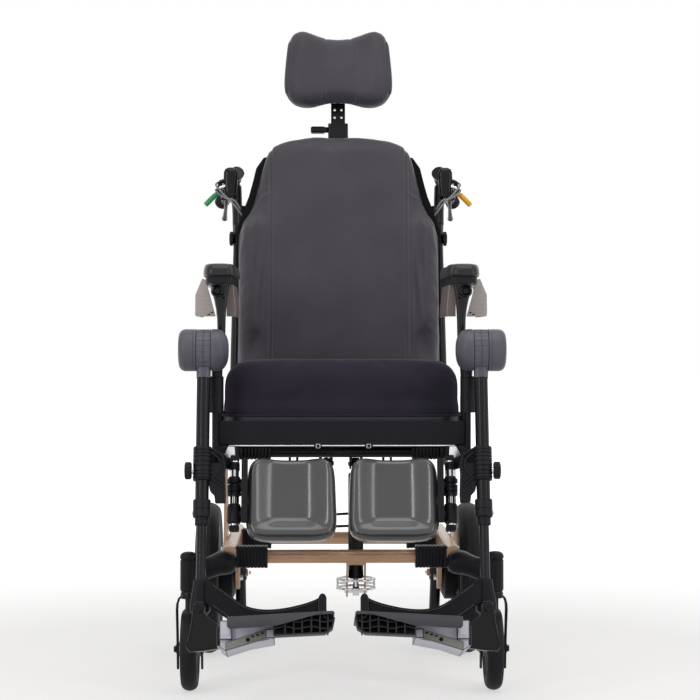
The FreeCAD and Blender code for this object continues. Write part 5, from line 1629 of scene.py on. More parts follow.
@dataclass(frozen=True)
class Legrest:
    """A legrest: knee hub, collar and tube, calf support, indexed inner tube, footplate and heel strap."""

    side: Side
    hub_radius: float = 37.5
    hub_inner: float = 202.0
    collar_inner: float = 233.0
    collar_outer: float = 259.0
    hub_outer: float = 291.0
    gap: float = 0.3
    leg_x: float = 246.0
    leg_radius: float = 12.0
    leg_end: float = 301.0
    post_x: float = 191.0
    post_back: float = 38.0
    calf_inner: float = 10.0
    calf_wide: float = 161.0
    calf_top: float = 184.0
    calf_high: float = 153.0
    plate_line: float = -18.5
    flip_x: float = 248.0
    flip_down: float = 463.0
    plate_top: float = -498.0
    plate_slope: float = 0.055

    def build(self, repeats: Repeats) -> None:
        """Makes every piece of the legrest."""
        self.hub()
        self.tube(repeats)
        self.bracket(repeats)
        self.calf()
        self.inner(repeats)
        self.plate(repeats)
        self.strap(repeats)

    def leg_piece(
        self, name: str, shape: Shape, finishes: Finish | Sequence[Finish], node: str, **more: object
    ) -> Object:
        """Leans a shape of the upright leg, mirrors it if need be and makes the piece.

        Args:
            name: the piece's name without its side.
            shape: the shape in (x, back, height above the hub).
            finishes: its finishes.
            node: the node without its side that gives the body and slot.
            more: passed on to make_piece.

        Returns:
            The piece.
        """
        full = f"{node}_{self.side.label}"
        shape.place(DRAWING.leg()).on(self.side)
        return make_piece(f"{name}_{self.side.label}", shape, finishes, body_of(full), slot_of(full), **more)

    def hub(self) -> None:
        """The outer cap, the inner dome, the neck and the pins."""
        r = self.hub_radius
        at = (0, DRAWING.hub_y, DRAWING.hub_z)
        x0, x1 = self.collar_outer + self.gap, self.hub_outer
        cap = [(x0, 0), (x0, r - 0.9), (x0 + 0.9, r), (x0 + 3.6, r), (x0 + 4.1, r - 0.8), (x0 + 5.0, r - 0.8)]
        cap += [
            (x0 + 5.5, r), (x1 - 12, r), (x1 - 7.5, r - 1.2), (x1 - 3.8, r - 4), (x1 - 1.4, r - 8), (x1 - 0.3, r - 13)
        ]
        cap += [(x1 - 0.3, 22.5), (x1 - 1.1, 21.9), (x1 - 1.1, 20.8), (x1 - 0.2, 20.2), (x1, 12), (x1, 0)]
        x2, x3 = self.collar_inner - self.gap, self.hub_inner
        dome = [(x2, 0), (x2, r - 0.9), (x2 - 0.9, r), (x2 - 9, r), (x2 - 15, r - 0.9), (x2 - 20, r - 3.2)]
        dome += [(x3 + 7, r - 7), (x3 + 3.6, r - 12.5), (x3 + 1.4, r - 19), (x3 + 0.3, 12), (x3, 6), (x3, 0)]
        hub = Shape().lathe(cap, at, (1, 0, 0), 72)
        hub.add(Shape().lathe(dome, at, (1, 0, 0), 72))
        hub.add(Shape(slot=1).lathe([(x2 - 1, 0), (x2 - 1, 8), (x0 + 1, 8), (x0 + 1, 0)], at, (1, 0, 0), 24))
        neck_ring = [(223.5 + u, -7 + v) for u, v in oval(9.3, 18.5, 4.0, 36)]
        hub.add(Shape(slot=1).prism(neck_ring, 570.4, 604, Axis.Z).rounded(2.0))
        hub.add(Shape(slot=2).lathe([(512, 0), (512, 8), (513, 9), (590, 9), (590, 0)], (226, 0, 0), (0, 0, 1), 24))
        hub.on(self.side)
        node = f"knee_hub_{self.side.label}"
        stand_in(node, hub, [HUB_ABS, BLACK_NYLON, ZINC])

    def tube(self, repeats: Repeats) -> None:
        """The ribbed knee collar, the outer tube and its lower clamp."""
        x0, x1 = self.collar_inner + self.gap / 2, self.collar_outer - self.gap / 2
        r = self.hub_radius - 1.4
        profile = [(x0, 9), (x0, r - 1), (x0 + 1, r), (x0 + 12, r), (x0 + 12.4, r - 0.8), (x0 + 13.2, r - 0.8)]
        profile += [(x0 + 13.6, r), (x1 - 1, r), (x1, r - 1), (x1, 9)]
        leg = Shape(slot=1).lathe(profile, (0, 0, 0), (1, 0, 0), 72)
        bar = Shape().prism(oval(0.8, 0.55, 2, 6), -12.3, 12.3, Axis.Z)
        bars = repeats.ring.run(None, bar, HUB_ABS, 1, Count=24, Radius=r + 0.1)
        bars.transform(quarter_turn(Y_AXIS, ((x0 + x1) / 2, 0, 0)))
        leg.add(bars)
        throat = [(self.leg_x + u, v) for u, v in oval(12.6, 13.2, 3.0, 32)]
        leg.add(Shape(slot=1).prism(throat, -52, -24, Axis.Z).rounded(1.0))
        leg.add(Shape().lathe(
            [(-self.leg_end, 8.6), (-self.leg_end, self.leg_radius), (-40, self.leg_radius), (-40, 8.6)],
            (self.leg_x, 0, 0), (0, 0, 1), 40,
        ))
        top, end = -self.leg_end + 31, -self.leg_end
        clamp = [
            (end - 14, 8.8), (end - 14, 11.3), (end - 13, 12), (end, 12), (end, 14.6), (end + 1, 15.5), (end + 13, 15.5)
        ]
        clamp += [(end + 13.4, 14.9), (end + 14.4, 14.9)]
        clamp += [(end + 14.8, 15.5), (top - 1, 15.5), (top, 14.6), (top, 11)]
        leg.add(Shape(slot=2).lathe(clamp, (self.leg_x, 0, 0), (0, 0, 1), 40))
        screw = repeats.spots.run(
            spot_mesh([((self.leg_x + 15.2, 0, end + 8), (1, 0, 0))]), socket_head(3.2, 2.6), ZINC, 3
        )
        leg.add(screw)
        self.leg_piece(
            "legrest_tube_dressed", leg, [BLACK_COAT, HUB_ABS, BLACK_NYLON, ZINC], "legrest_tube",
            replaces=[f"legrest_tube_{self.side.label}"],
        )

    def bracket(self, repeats: Repeats) -> None:
        """The grooved clamp, its curved ribbed arm to the calf post and the fluted hand knob."""
        top, bottom = -176.0, -236.0
        x, back = self.post_x, self.post_back
        profile = [(bottom, 12.2), (bottom, 15.2), (bottom + 1, 16.2)]
        for groove in (-232.6, -226.4, -220.4, -211.4, -203.0, -195.0, -188.6, -183.2):
            profile += [(groove - 1.1, 16.4), (groove - 0.6, 15.3), (groove + 0.6, 15.3), (groove + 1.1, 16.4)]
        profile += [(top - 1, 16.2), (top, 15.2), (top, 12.2)]
        part = Shape().lathe(profile, (self.leg_x, 0, 0), (0, 0, 1), 44)
        arm = [(231, -177), (220, -183), (209, -193), (205, -206), (206, -224), (204.5, -260), (205, -275), (223, -275)]
        arm += [(224.5, -262), (232, -254), (236, -236)]
        part.add(Shape().prism(arm, -3, 10).rounded(1.6))
        for line in (
            [(232, -178.5), (221, -184.5), (210.5, -194), (206.8, -206), (207.6, -224), (206.2, -259), (206.4, -273)],
            [(231, -187), (222, -192.5), (216, -199), (214, -208), (215, -218), (221, -226), (231, -234)],
            [(231, -222), (222, -230), (212, -238.5)],
            [(231, -230), (222, -238), (211, -247)],
        ):
            part.add(Shape().tube(smooth_path([(u, -4.0, v) for u, v in line], 6), 1.7, 8))
        part.add(Shape().block((x - 9, back - 4, -318), (x + 9, back + 17, -307.5)).rounded(2.5))
        part.add(Shape().block((x - 8, back + 13.6, -316), (x + 8, back + 18, top - 4)).rounded(1.2))
        reach = [(x + 2, back + 17), (x + 8, back + 17.5), (self.leg_x - 12, 10), (self.leg_x - 12, -3), (x + 20, -3)]
        part.add(Shape().prism(reach + [(x + 10, back + 13)], top - 30, top - 10, Axis.Z).rounded(1.6))
        part.add(Shape(slot=1).lathe(
            [
                (-309, 0), (-309, 7.9), (-270, 7.9), (-270, 3.4), (-255, 3.4), (-255, 7.9), (top - 18, 7.9),
                (top - 18, 0)
            ],
            (x, back, 0), (0, 0, 1), 24,
        ))
        at = (self.leg_x + self.leg_radius + 5, 0, -218)
        knob = [(0, 0), (0, 4), (1.6, 4), (1.6, 12.6), (2.6, 14.4), (11, 14.8), (13, 14), (14, 11), (14, 0)]
        part.add(Shape().lathe(knob, at, (1, 0, 0), 40))
        part.add(Shape(slot=1).lathe([(-1.5, 0), (-1.5, 5.6), (1.4, 5.6), (1.4, 0)], at, (1, 0, 0), 24))
        flute = Shape().prism(oval(1.5, 1.5, 2, 8), -4.6, 4.6, Axis.Z).rounded(0.4, 1)
        flutes = repeats.ring.run(None, flute, BLACK_NYLON, Count=14, Radius=14.2)
        flutes.transform(quarter_turn(Y_AXIS, Vector(at) + Vector((7.8, 0, 0))))
        part.add(flutes)
        self.leg_piece(
            "calf_bracket_dressed", part, [BLACK_NYLON, ZINC], "calf_bracket",
            replaces=[f"calf_bracket_{self.side.label}"],
        )

    @staticmethod
    def grown(outline: Sequence[Point], by: float) -> list[tuple[float, float]]:
        """An outline pushed out from its middle."""
        middle = sum((Vector(p) for p in outline), Vector((0, 0))) / len(outline)
        return [tuple(Vector(p) + (Vector(p) - middle).normalized() * by) for p in outline]

    def calf(self) -> None:
        """The calf pad, hollowed in front with a rolled lower lip, and its knuckle."""
        x_mid = self.calf_inner + self.calf_wide / 2
        v_mid = -self.calf_top - self.calf_high / 2
        half_u, half_v = self.calf_wide / 2, self.calf_high / 2
        ring = []
        for u, v in oval(half_u, half_v, 5.2, 132):
            flare = 1 + 0.035 * (-v / half_v)
            dip = 5.0 * hump(u, 0, 42) if v > 0.8 * half_v else 0.0
            ring.append((x_mid + u * flare * 0.985, v_mid + v - dip))
        face = -(self.post_back - 12)

        def surface(u: float, v: float) -> float:
            across = (u - x_mid) / half_u
            down = (v_mid - v) / half_v
            floor = 17.0 * (1 - smoothstep(0.3, 0.86, abs(across))) * (1 - smoothstep(0.42, 0.76, down))
            lip = 4.0 * hump(down, 0.8, 0.13) * (1 - smoothstep(0.7, 1.0, abs(across)))
            rim = 2.0 * hump(abs(across), 0.84, 0.12)
            return face - 1.0 - floor + lip + rim

        pillow = Pillow(tuple(ring), (x_mid, v_mid), surface, face - 39.0, 13.0, 9.0)
        data = pillow.shape()
        data.place(FACING)
        full = f"calf_pad_{self.side.label}"
        data.place(DRAWING.leg()).on(self.side)
        mesh = refine(data.mesh(full), 1)
        # The pad's mid-grey base colour is painted reflection on black vinyl.
        pad = stand_in(full, mesh, CALF_VINYL_PAINTED_REFLECTION, f"{full}_cover", PADDED)
        part = Shape()
        x, back = self.post_x, self.post_back
        knuckle = [(-306, 8.1), (-306, 9.5), (-303, 12.5), (-277, 12.5), (-271, 10.5), (-270, 8.1)]
        stack = [
            (-255.5, 8.1), (-255.5, 12.2), (-250.5, 12.8), (-250.3, 10), (-248.6, 10), (-248.4, 12.8), (-243, 12.8)
        ]
        stack += [(-242.8, 11.6), (-241.6, 11.6), (-241.4, 12.8), (-237, 12.8), (-236.6, 9.6), (-233.6, 9.6)]
        stack += [(-233.2, 13), (-227, 13), (-224.8, 10.8), (-222, 9.6), (-222, 8.1)]
        cap = [(-210, 8.1), (-210, 9.4), (-198.5, 9.4), (-196.4, 8.8), (-196, 8.1)]
        for profile in (knuckle, stack, cap):
            part.add(Shape().lathe(profile, (x, back, 0), (0, 0, 1), 36))
        part.add(Shape().block((167, 12, -306), (178, 30, -193)).rounded(2.0))
        for level in (-284, -232):
            part.add(Shape().block((x - 20, back - 8, level - 12), (x - 4, back + 6, level)).rounded(2.5))
        self.leg_piece("calf_knuckle", part, BLACK_NYLON, "calf_pad")

    def inner(self, repeats: Repeats) -> None:
        """The indexed inner tube, and the moulded end with the flip pin."""
        x = self.leg_x
        part = Shape().lathe([(-420, 6.5), (-420, 8.5), (-150, 8.5), (-150, 6.5)], (x, 0, 0), (0, 0, 1), 32)
        # Thin dark discs in the rubber finish stand for the index holes: painted shade of their depth.
        hole = Shape().lathe([(0, 0), (0, 2.6), (0.25, 2.6), (0.25, 0)], (0, 0, 0), (0, -1, 0), 14)
        holes = repeats.row.run(None, hole, RUBBER, 2, Count=9, Pitch=12.0)
        holes.transform(Matrix.Translation((x, -8.35, -412)))
        part.add(holes)
        levels = [
            (-411, 12.2, 13.4, 0), (-424, 13.4, 14, 0), (-440, 15.6, 14, 0.6), (-455, 17.6, 14, 0.9),
            (-464, 17.2, 13, 0.2)
        ]
        levels += [(-471, 11.5, 10.5, 1.6)]
        rings = [[(x + shift + u, -1 + v, z) for u, v in oval(wide, deep, 3.6, 36)] for z, wide, deep, shift in levels]
        part.add(Shape(slot=1).loft(rings).rounded(1.4, 2, 50))
        line = self.plate_line
        pin = [(12, 0), (12, 5), (13, 5), (13, 9), (-line - 0.3, 9), (-line - 0.3, 4.95), (-line + 12.3, 4.95)]
        pin += [
            (-line + 12.3, 8), (-line + 14.5, 8), (-line + 15.5, 6.8), (-line + 15.5, 3.4), (-line + 13.8, 3.0),
            (-line + 13.8, 0)
        ]
        part.add(Shape(slot=3).lathe(pin, (self.flip_x, 0, -self.flip_down), (0, -1, 0), 30))
        self.leg_piece(
            "footplate_tube_dressed", part, [BLACK_COAT, BLACK_NYLON, RUBBER, GLOSS_ABS], "footplate_tube",
            replaces=[f"footplate_tube_{self.side.label}"],
        )

    def deck(self, x: float) -> float:
        """The height of the footplate's top at a distance from the chair's middle."""
        return self.plate_top + (205.0 - x) * self.plate_slope

    def plate(self, repeats: Repeats) -> None:
        """The footplate: moulded arm, cast bearer, studded deck, ribbed shell and heel post."""
        rear, front = self.plate_line, self.plate_line - 165.0
        top = self.deck
        part = Shape().add(self.foot_arm(rear), self.bearer(repeats, rear - 110.0, rear - 6.0), self.shell(front))
        skin = [(193, top(193)), (20, top(20)), (17, top(17) - 2.5), (18, top(18) - 5), (193, top(193) - 5)]
        part.add(Shape().prism(skin, front, rear).rounded(1.2, 2))
        nose = [(193, top(193) - 1), (38, top(38) - 1), (38, top(38) - 3), (115, top(115) - 20), (189, top(189) - 20)]
        part.add(Shape().prism(nose + [(193, top(193) - 16)], front - 1.5, front + 4).rounded(1.2, 2))
        post = [(29, top(29) - 2), (29, -444), (32, -438.5), (36, -437), (40, -438.5), (43, -444), (43, top(43) - 2)]
        part.add(Shape(slot=3).prism(post, rear - 7, rear - 3).rounded(0.8, 2))
        tilt = tuple(Vector((self.plate_slope, 0, 1)).normalized())
        spots = []
        for row in range(12):
            spots += [(x, rear - 14 - row * 12.4) for x in range(34 + 7 * (row % 2), 188, 15)]
        stud = Shape().lathe([(-0.3, 0), (-0.3, 3.0), (0.5, 2.6), (0.8, 1.6), (0.8, 0)], (0, 0, 0), (0, 0, 1), 10)
        part.add(repeats.spots.run(spot_mesh([((x, y, top(x)), tilt) for x, y in spots]), stud, DECK))
        self.leg_piece(
            "footplate_dressed", part, [DECK, GLOSS_ABS, CASTING, BLACK_NYLON, RUBBER, LOWER_BAR_CASTING], "footplate",
            replaces=[f"footplate_{self.side.label}"],
        )

    def foot_arm(self, rear: float) -> Shape:
        """The moulded arm that swings on the flip pin and flares down to the bearer."""
        outline = [
            (236, -459), (240, -452), (252, -451), (257, -457), (258, -470), (262, -500), (268, -530), (262, -537)
        ]
        outline += [(240, -536), (213, -532), (209, -526), (209, -497), (214, -491), (231, -478), (237, -467)]
        arm = Shape(slot=1).prism(outline, rear - 12, rear).rounded(1.6)
        rim = [(x, rear - 11.6, z) for x, z in self.grown(outline, -2.4)]
        arm.add(Shape(slot=1).tube(rim + rim[:1], 1.3, 8))
        return arm.add(Shape(slot=1).block((208, rear - 60, -533), (214.5, rear - 6, -500)).rounded(1.5))

    def bearer(self, repeats: Repeats, front: float, rear: float) -> Shape:
        """The cast bearer: thin web, sloping top flange, stepped ends and a slotted lower bar."""
        top = self.deck
        web = [(206, top(206) - 6), (117, top(117) - 8), (117, -526), (160, -534), (197, -546), (207, -540)]
        cast = Shape(slot=2).prism(web, front + 6, rear).rounded(1.0, 2)
        flange = [(207, top(207) - 1), (117, top(117) - 7), (117, top(117) - 10), (207, top(207) - 8)]
        bar = [(197, -533), (129, -512), (129, -526.5), (197, -547)]
        cast.add(Shape(slot=2).prism(flange, front - 2, rear).rounded(1.0, 2))
        cast.add(Shape(slot=5).prism(bar, front - 2, front + 8).rounded(1.0, 2))
        blocks = [((186, front - 5, -529), (207.5, front + 8, -497)), ((190, front - 8, -521), (203, front - 4, -503))]
        blocks += [((116, front - 5, -527), (131, front + 8, -511))]
        for low, high in blocks:
            cast.add(Shape(slot=2).block(low, high).rounded(1.8))
        # Thin dark ovals on the bar stand for its slots: painted shade of the openings.
        for x, z in ((136, -518.2), (144, -520.8), (152, -523.4)):
            cast.add(Shape(slot=4).prism([(x + u, z + v) for u, v in oval(2.9, 1.5, 3, 16)], front - 2.2, front))
        bolt = repeats.spots.run(spot_mesh([((160, front - 1.8, -529), (0, -1, 0))]), socket_head(2.4, 2.0), RUBBER, 4)
        return cast.add(bolt)

    def shell(self, front: float) -> Shape:
        """The ribbed shell under the deck's inner half, open to the front."""
        top = self.deck
        web = [(117, top(117) - 4), (18, top(18) - 4), (18, -505), (23, -517), (34, -523), (117, -527)]
        shell = Shape(slot=3).prism(web, front + 32, front + 35)
        sole = [
            (16, -498), (20, -516.5), (33, -524.5), (117, -528.5), (117, -526), (34, -522), (22.5, -514.5), (18.5, -498)
        ]
        shell.add(Shape(slot=3).prism(sole, front + 5, front + 34).rounded(0.7, 2))
        for x in (98, 84, 70, 55, 41, 28):
            shell.add(
                Shape(slot=3).block((x - 1.2, front + 6, -525), (x + 1.2, front + 33, top(x) - 4)).rounded(0.6, 2)
            )
        for level in (-502.5, -513.5):
            wave = [(x, level + 1.8 * math.sin(x / 7)) for x in range(20, 118, 4)]
            wave += [(x, z - 2.2) for x, z in wave[::-1]]
            shell.add(Shape(slot=3).prism(wave, front + 6, front + 33).rounded(0.5, 1))
        ring = rib_ring(4.8, 2.6, 5.0).place(quarter_turn(X_AXIS, (31, front + 5, -495.5)))
        carrier = ring.tidy().mesh("ring")
        carrier.polygons.foreach_set("material_index", [3] * len(carrier.polygons))
        return shell.add(carrier)

    def strap(self, repeats: Repeats) -> None:
        """The heel strap: a sagging band with hemmed edges and stitching."""
        rear = self.plate_line - 1.5
        upper = [(237, -408), (222, -420), (202, -434), (179, -451), (160, -460), (135, -464), (104, -462), (71, -455)]
        upper += [(48, -447), (33, -438)]
        line = smooth_path([(x, 0, z) for x, z in upper], 6)
        strip = Shape()
        across = 14
        rows = []
        for n in range(across + 1):
            share = n / across
            row = []
            for p in line:
                floor = self.deck(p.x) - 5.0
                low = max(p.z - 44, floor)
                bow = math.sin(math.pi * share) * smoothstep(232, 190, p.x)
                row.append(strip.bm.verts.new((p.x, rear + bow, p.z + (low - p.z) * share)))
            rows.append(row)
        for a, b in zip(rows, rows[1:]):
            for i in range(len(a) - 1):
                strip.face((a[i], a[i + 1], b[i + 1], b[i]))
        strip.tidy()
        strip.place(DRAWING.leg()).on(self.side)
        full = f"heel_strap_{self.side.label}"
        data = strip.mesh(full)
        strap = stand_in(full, data, WEBBING, f"{full}_band", PADDED)
        wall = strap.modifiers.new("wall", "SOLIDIFY")
        wall.thickness = 1.8 * MM
        wall.offset = 0.0
        edges = []
        for drop in (3.5, 38.0):
            path = [Vector((p.x, rear - 1.15, p.z - drop)) for p in line[6:-4]]
            path = [p for p in path if p.z > self.deck(p.x) - 1.0]
            edges.append(path)
        threads = repeats.along.run(line_mesh(edges), stitch(3.0, 0.45), THREAD, Pitch=4.4)
        self.leg_piece("heel_strap_stitches", Shape().add(threads), THREAD, "heel_strap")


@dataclass(frozen=True)
class RearWheel:
    """A drive wheel: grooved tyre with shoulder lugs, moulded centre and hub bolts."""

    side: Side
    x: float = 262.0
    axle_y: float = 505.0
    radius: float = 152.0
    rim_radius: float = 113.0
    width: float = 46.0

    def build(self, repeats: Repeats) -> None:
        """Makes the tyre, the centre and the bolts."""
        node = f"rear_tyre_{self.side.label}"
        half = self.width / 2
        tyre = Shape().lathe(self.profile(), (self.x, self.axle_y, self.radius), (1, 0, 0), 120)
        for way in (-1, 1):
            ring = repeats.ring.run(None, self.lug(way), TYRE, Count=44, Radius=self.radius - 9.0)
            ring.transform(quarter_turn(Y_AXIS, (self.x + way * (half - 6.5), self.axle_y, self.radius)))
            tyre.add(ring)
        tyre.on(self.side)
        stand_in(node, tyre, TYRE, angle=TURNED)
        CarriedNode(f"rear_rim_{self.side.label}", WHEEL_NYLON, 1.0).build()
        self.hub(repeats, body_of(node))

    def profile(self) -> list[tuple[float, float]]:
        """The tyre's section from one bead over the tread to the other."""
        half, bead = self.width / 2, 0.8 * self.width / 2
        side = [(-bead, self.rim_radius + 0.1), (-half, self.rim_radius + 14), (-half, self.radius - 18)]
        for n in range(1, 9):
            t = math.pi / 2 * n / 9
            side.append((-half * math.cos(t), self.radius - 18 + 17.2 * math.sin(t)))
        crown = [
            (-7.2, self.radius - 0.9), (-6.6, self.radius - 2.6), (-5.0, self.radius - 2.6), (-4.4, self.radius - 0.3)
        ]
        over = side + crown
        return over + [(-x, r) for x, r in over[::-1]]

    def lug(self, way: int) -> Shape:
        """A low shoulder lug that leans with the tyre's round."""
        part = Shape().block((-1.5, -2.2, -5.5), (1.6, 2.2, 5.5)).rounded(0.6, 1)
        part.place(Matrix.Rotation(math.radians(-48 * way), 4, (0, 1, 0)))
        return part

    def hub(self, repeats: Repeats, body: str) -> None:
        """The hub cap with its ring of bolts on the outer face."""
        face = self.x + self.width / 2 + 0.5
        cap = Shape().lathe(
            [(0, 12), (0, 25), (1.2, 26.5), (2.6, 25), (3.0, 12)], (face - 2.5, self.axle_y, self.radius), (1, 0, 0), 40
        )
        spots = []
        for n in range(5):
            turn = 2 * math.pi * n / 5
            place = (face - 0.2, self.axle_y + 19 * math.cos(turn), self.radius + 19 * math.sin(turn))
            spots.append((place, (1, 0, 0)))
        bolts = repeats.spots.run(spot_mesh(spots), hex_head(3.4, 2.6), ZINC, 1)
        cap.add(bolts).on(self.side)
        make_piece(f"rear_hub_cap_{self.side.label}", cap, [WHEEL_NYLON, ZINC], body, "wheel_grey")


@dataclass(frozen=True)
class Caster:
    """A front caster: stem housing with its arm, fork, tyre and centre."""

    side: Side
    x: float = 275.0
    trail: float = 45.0
    radius: float = 75.0
    rim_radius: float = 50.0
    width: float = 30.0
    leg_outer: float = 24.7

    def build(self, repeats: Repeats) -> None:
        """Makes every piece of the caster."""
        self.housing(repeats)
        self.fork()
        CarriedNode(f"caster_rim_{self.side.label}", WHEEL_NYLON, 0.6).build()
        self.tyre()
        self.axle_bolts(repeats)

    def housing(self, repeats: Repeats) -> None:
        """The stem housing with a grooved domed cap, and the paddle-shaped arm to the side frame."""
        barrel = [
            (185, 6.2), (185, 13), (186.4, 14.6), (189, 15), (240.2, 15), (241, 13.9), (242.8, 13.9), (243.6, 15.2)
        ]
        barrel += [(247.5, 15.3), (251, 14.2), (253.8, 11.5), (255.4, 7.5), (256, 3), (256, 0)]
        part = Shape().lathe(barrel, (self.x, 0, 0), (0, 0, 1), 48)
        stations = [
            (191, 231, 8, 36, 16), (194, 231.5, 14.5, 34, 22), (200, 232, 18.6, 33, 26), (208, 232.6, 21, 32, 27.6)
        ]
        stations += [(217, 232.6, 21.6, 31.5, 28), (226, 230.5, 21.4, 30, 27), (235, 226.5, 20.6, 26, 23.5)]
        stations += [
            (244, 223.4, 20.2, 20, 18.5), (254, 222, 20.4, 12, 14), (264, 221.8, 20.6, 5, 12),
            (271, 221.8, 20.6, 2, 10.5)
        ]
        rings = [
            [(x, deep_at + v, z + w) for v, w in oval(deep, high, 2.7, 40)] for x, z, high, deep_at, deep in stations
        ]
        part.add(Shape().loft(rings))
        screw = repeats.spots.run(
            spot_mesh([((self.x - 2, -14.6, 232), (0, -1, 0))]), socket_head(2.0, 1.2), BLACK_NYLON
        )
        part.add(screw)
        part.on(self.side)
        node = f"caster_housing_{self.side.label}"
        stand_in(node, part, BLACK_NYLON, angle=TURNED)

    def fork(self) -> None:
        """The fork: a stem, a crown under the housing and two thin legs that bend out past the tyre."""
        node = f"caster_fork_{self.side.label}"
        part = Shape().lathe([(150, 0), (150, 5.9), (240, 5.9), (240, 0)], (self.x, 0, 0), (0, 0, 1), 24)
        part.lathe(
            [(172, 0), (172, 13), (174, 14.5), (181, 14.5), (184.6, 13), (184.6, 0)], (self.x, 0, 0), (0, 0, 1), 40
        )
        part.lathe([(-26, 0), (-26, 4.9), (26, 4.9), (26, 0)], (self.x, self.trail, self.radius), (1, 0, 0), 24)
        line = [(6, 2, 177, 11), (12, 5, 176.5, 11.5), (17.5, 10, 171, 12), (20.8, 16, 161, 12), (22, 22, 149, 11)]
        line += [(22, 34, 112, 9.5), (22, 44, 78, 9.5), (22, 47, 62, 9), (22, 50, 42, 8), (22, 50.5, 38, 5)]
        for way in (-1, 1):
            rings = []
            for (x, y, z, deep), (x1, _, z1, _) in zip(line, line[1:] + [(22, 50.5, 30, 5)]):
                across = Vector((z - z1, 0, x1 - x)).normalized() * 2.1
                ring = [Vector((x, y + v, z)) + across * (u / 2.1) for u, v in oval(2.1, deep, 5, 24)]
                rings.append([(self.x + way * p.x, p.y, p.z) for p in ring])
            part.add(Shape().loft(rings))
        part.on(self.side)
        stand_in(node, part, BLACK_COAT, angle=45.0)

    def tyre(self) -> None:
        """The smooth rounded tyre with a fine mould line on its crown."""
        half, bead = self.width / 2, 0.8 * self.width / 2
        side = [
            (-bead, self.rim_radius + 0.1), (-half + 0.6, self.rim_radius + 5), (-half, self.rim_radius + 9),
            (-half, self.radius - 12)
        ]
        for n in range(1, 9):
            t = math.pi / 2 * n / 9
            side.append((-half * math.cos(t), self.radius - 12 + 11.8 * math.sin(t)))
        side += [(-0.5, self.radius - 0.15), (-0.3, self.radius)]
        node = f"caster_tyre_{self.side.label}"
        profile = side + [(-x, r) for x, r in side[::-1]]
        tyre = Shape().lathe(profile, (self.x, self.trail, self.radius), (1, 0, 0), 96).on(self.side)
        stand_in(node, tyre, TYRE, angle=TURNED)

    def axle_bolts(self, repeats: Repeats) -> None:
        """The axle's hexagon heads on both legs."""
        spots = [((self.x + way * self.leg_outer, self.trail, self.radius), (way, 0, 0)) for way in (-1, 1)]
        bolts = Shape().add(repeats.spots.run(spot_mesh(spots), hex_head(6.0, 4.6), ZINC)).on(self.side)
        make_piece(
            f"caster_axle_bolts_{self.side.label}", bolts, BLACK_COAT, f"caster_swivel_{self.side.label}", "black_paint"
        )


@dataclass(frozen=True)
class Chassis:
    """The base: lacquered side frames and cross tubes, clamp sleeves, brakes, tippers and bolts."""

    rail_x: float = 192.0
    rail_wide: float = 24.0
    rail_z: float = 239.0
    tipper_x: float = 201.0
    tower_y: float = 290.0
    tower_bolt: float = 46.0

    def build(self, repeats: Repeats) -> None:
        """Dresses the base and adds its fasteners."""

        def is_pin(low: Vector, high: Vector) -> bool:
            return high.y - low.y < 30 and high.z - low.z < 30

        def is_wire(low: Vector, high: Vector) -> bool:
            return high.x - low.x > 60

        for side in Side:
            CarriedNode(f"side_frame_{side.label}", BRONZE, 0.8, (SolidRule(ZINC, is_pin),)).build()
        CarriedNode("cross_tubes", BRONZE, 0.4).build()
        CarriedNode("cross_tube_clamps", BLACK_NYLON, 0.5).build()
        CarriedNode("drum_brakes", BLACK_NYLON, 0.8, (SolidRule(ZINC, is_pin),)).build()
        CarriedNode("anti_tippers", BLACK_COAT, 0.8, (SolidRule(RUBBER, lambda low, high: high.z < 75),)).build()
        CarriedNode("spring_clevis", BRONZE, 0.4, (SolidRule(ZINC, is_wire), SolidRule(ZINC, is_pin))).build()
        self.bolts(repeats)
        self.bands(repeats)

    def bolts(self, repeats: Repeats) -> None:
        """Hexagon bolts on the towers and under the front arms."""
        spots = []
        outer = self.rail_x + self.rail_wide + 6
        for way in (-1, 1):
            for y in (self.tower_y - self.tower_bolt, self.tower_y + self.tower_bolt):
                spots.append(((way * outer, y, self.rail_z - 4), (way, 0, 0)))
            for y in (78, 96):
                spots.append(((way * (self.rail_x + self.rail_wide / 2), y, self.rail_z - 20), (0, 0, -1)))
        made = Shape().add(repeats.spots.run(spot_mesh(spots), hex_head(5.2, 5.0), ZINC))
        make_piece("base_bolts", made, ZINC, "chassis", slot_of("base_fasteners"), ["base_fasteners"])

    def bands(self, repeats: Repeats) -> None:
        """The lacquered band clamp round each tipper tube, with its bolt."""
        part = Shape()
        for way in (-1, 1):
            origin = Vector((way * self.tipper_x, 560.5, 155.0))
            axis = Vector((0, 72, -115)).normalized()
            part.add(Shape().lathe([(-7, 11), (-7, 13.2), (7, 13.2), (7, 11)], origin, axis, 36))
            tab = Shape().block((way * 190 - 7, 552, 149), (way * 190 + 5, 562, 163)).rounded(1.0)
            part.add(tab)
            bolt = repeats.spots.run(
                spot_mesh([((way * 190 - way * 7, 556, 156), (-way, 0, 0))]), hex_head(4.2, 4.0), ZINC, 1
            )
            part.add(bolt)
        make_piece("tipper_bands", part, [BRONZE, ZINC], "chassis", "bronze_paint")


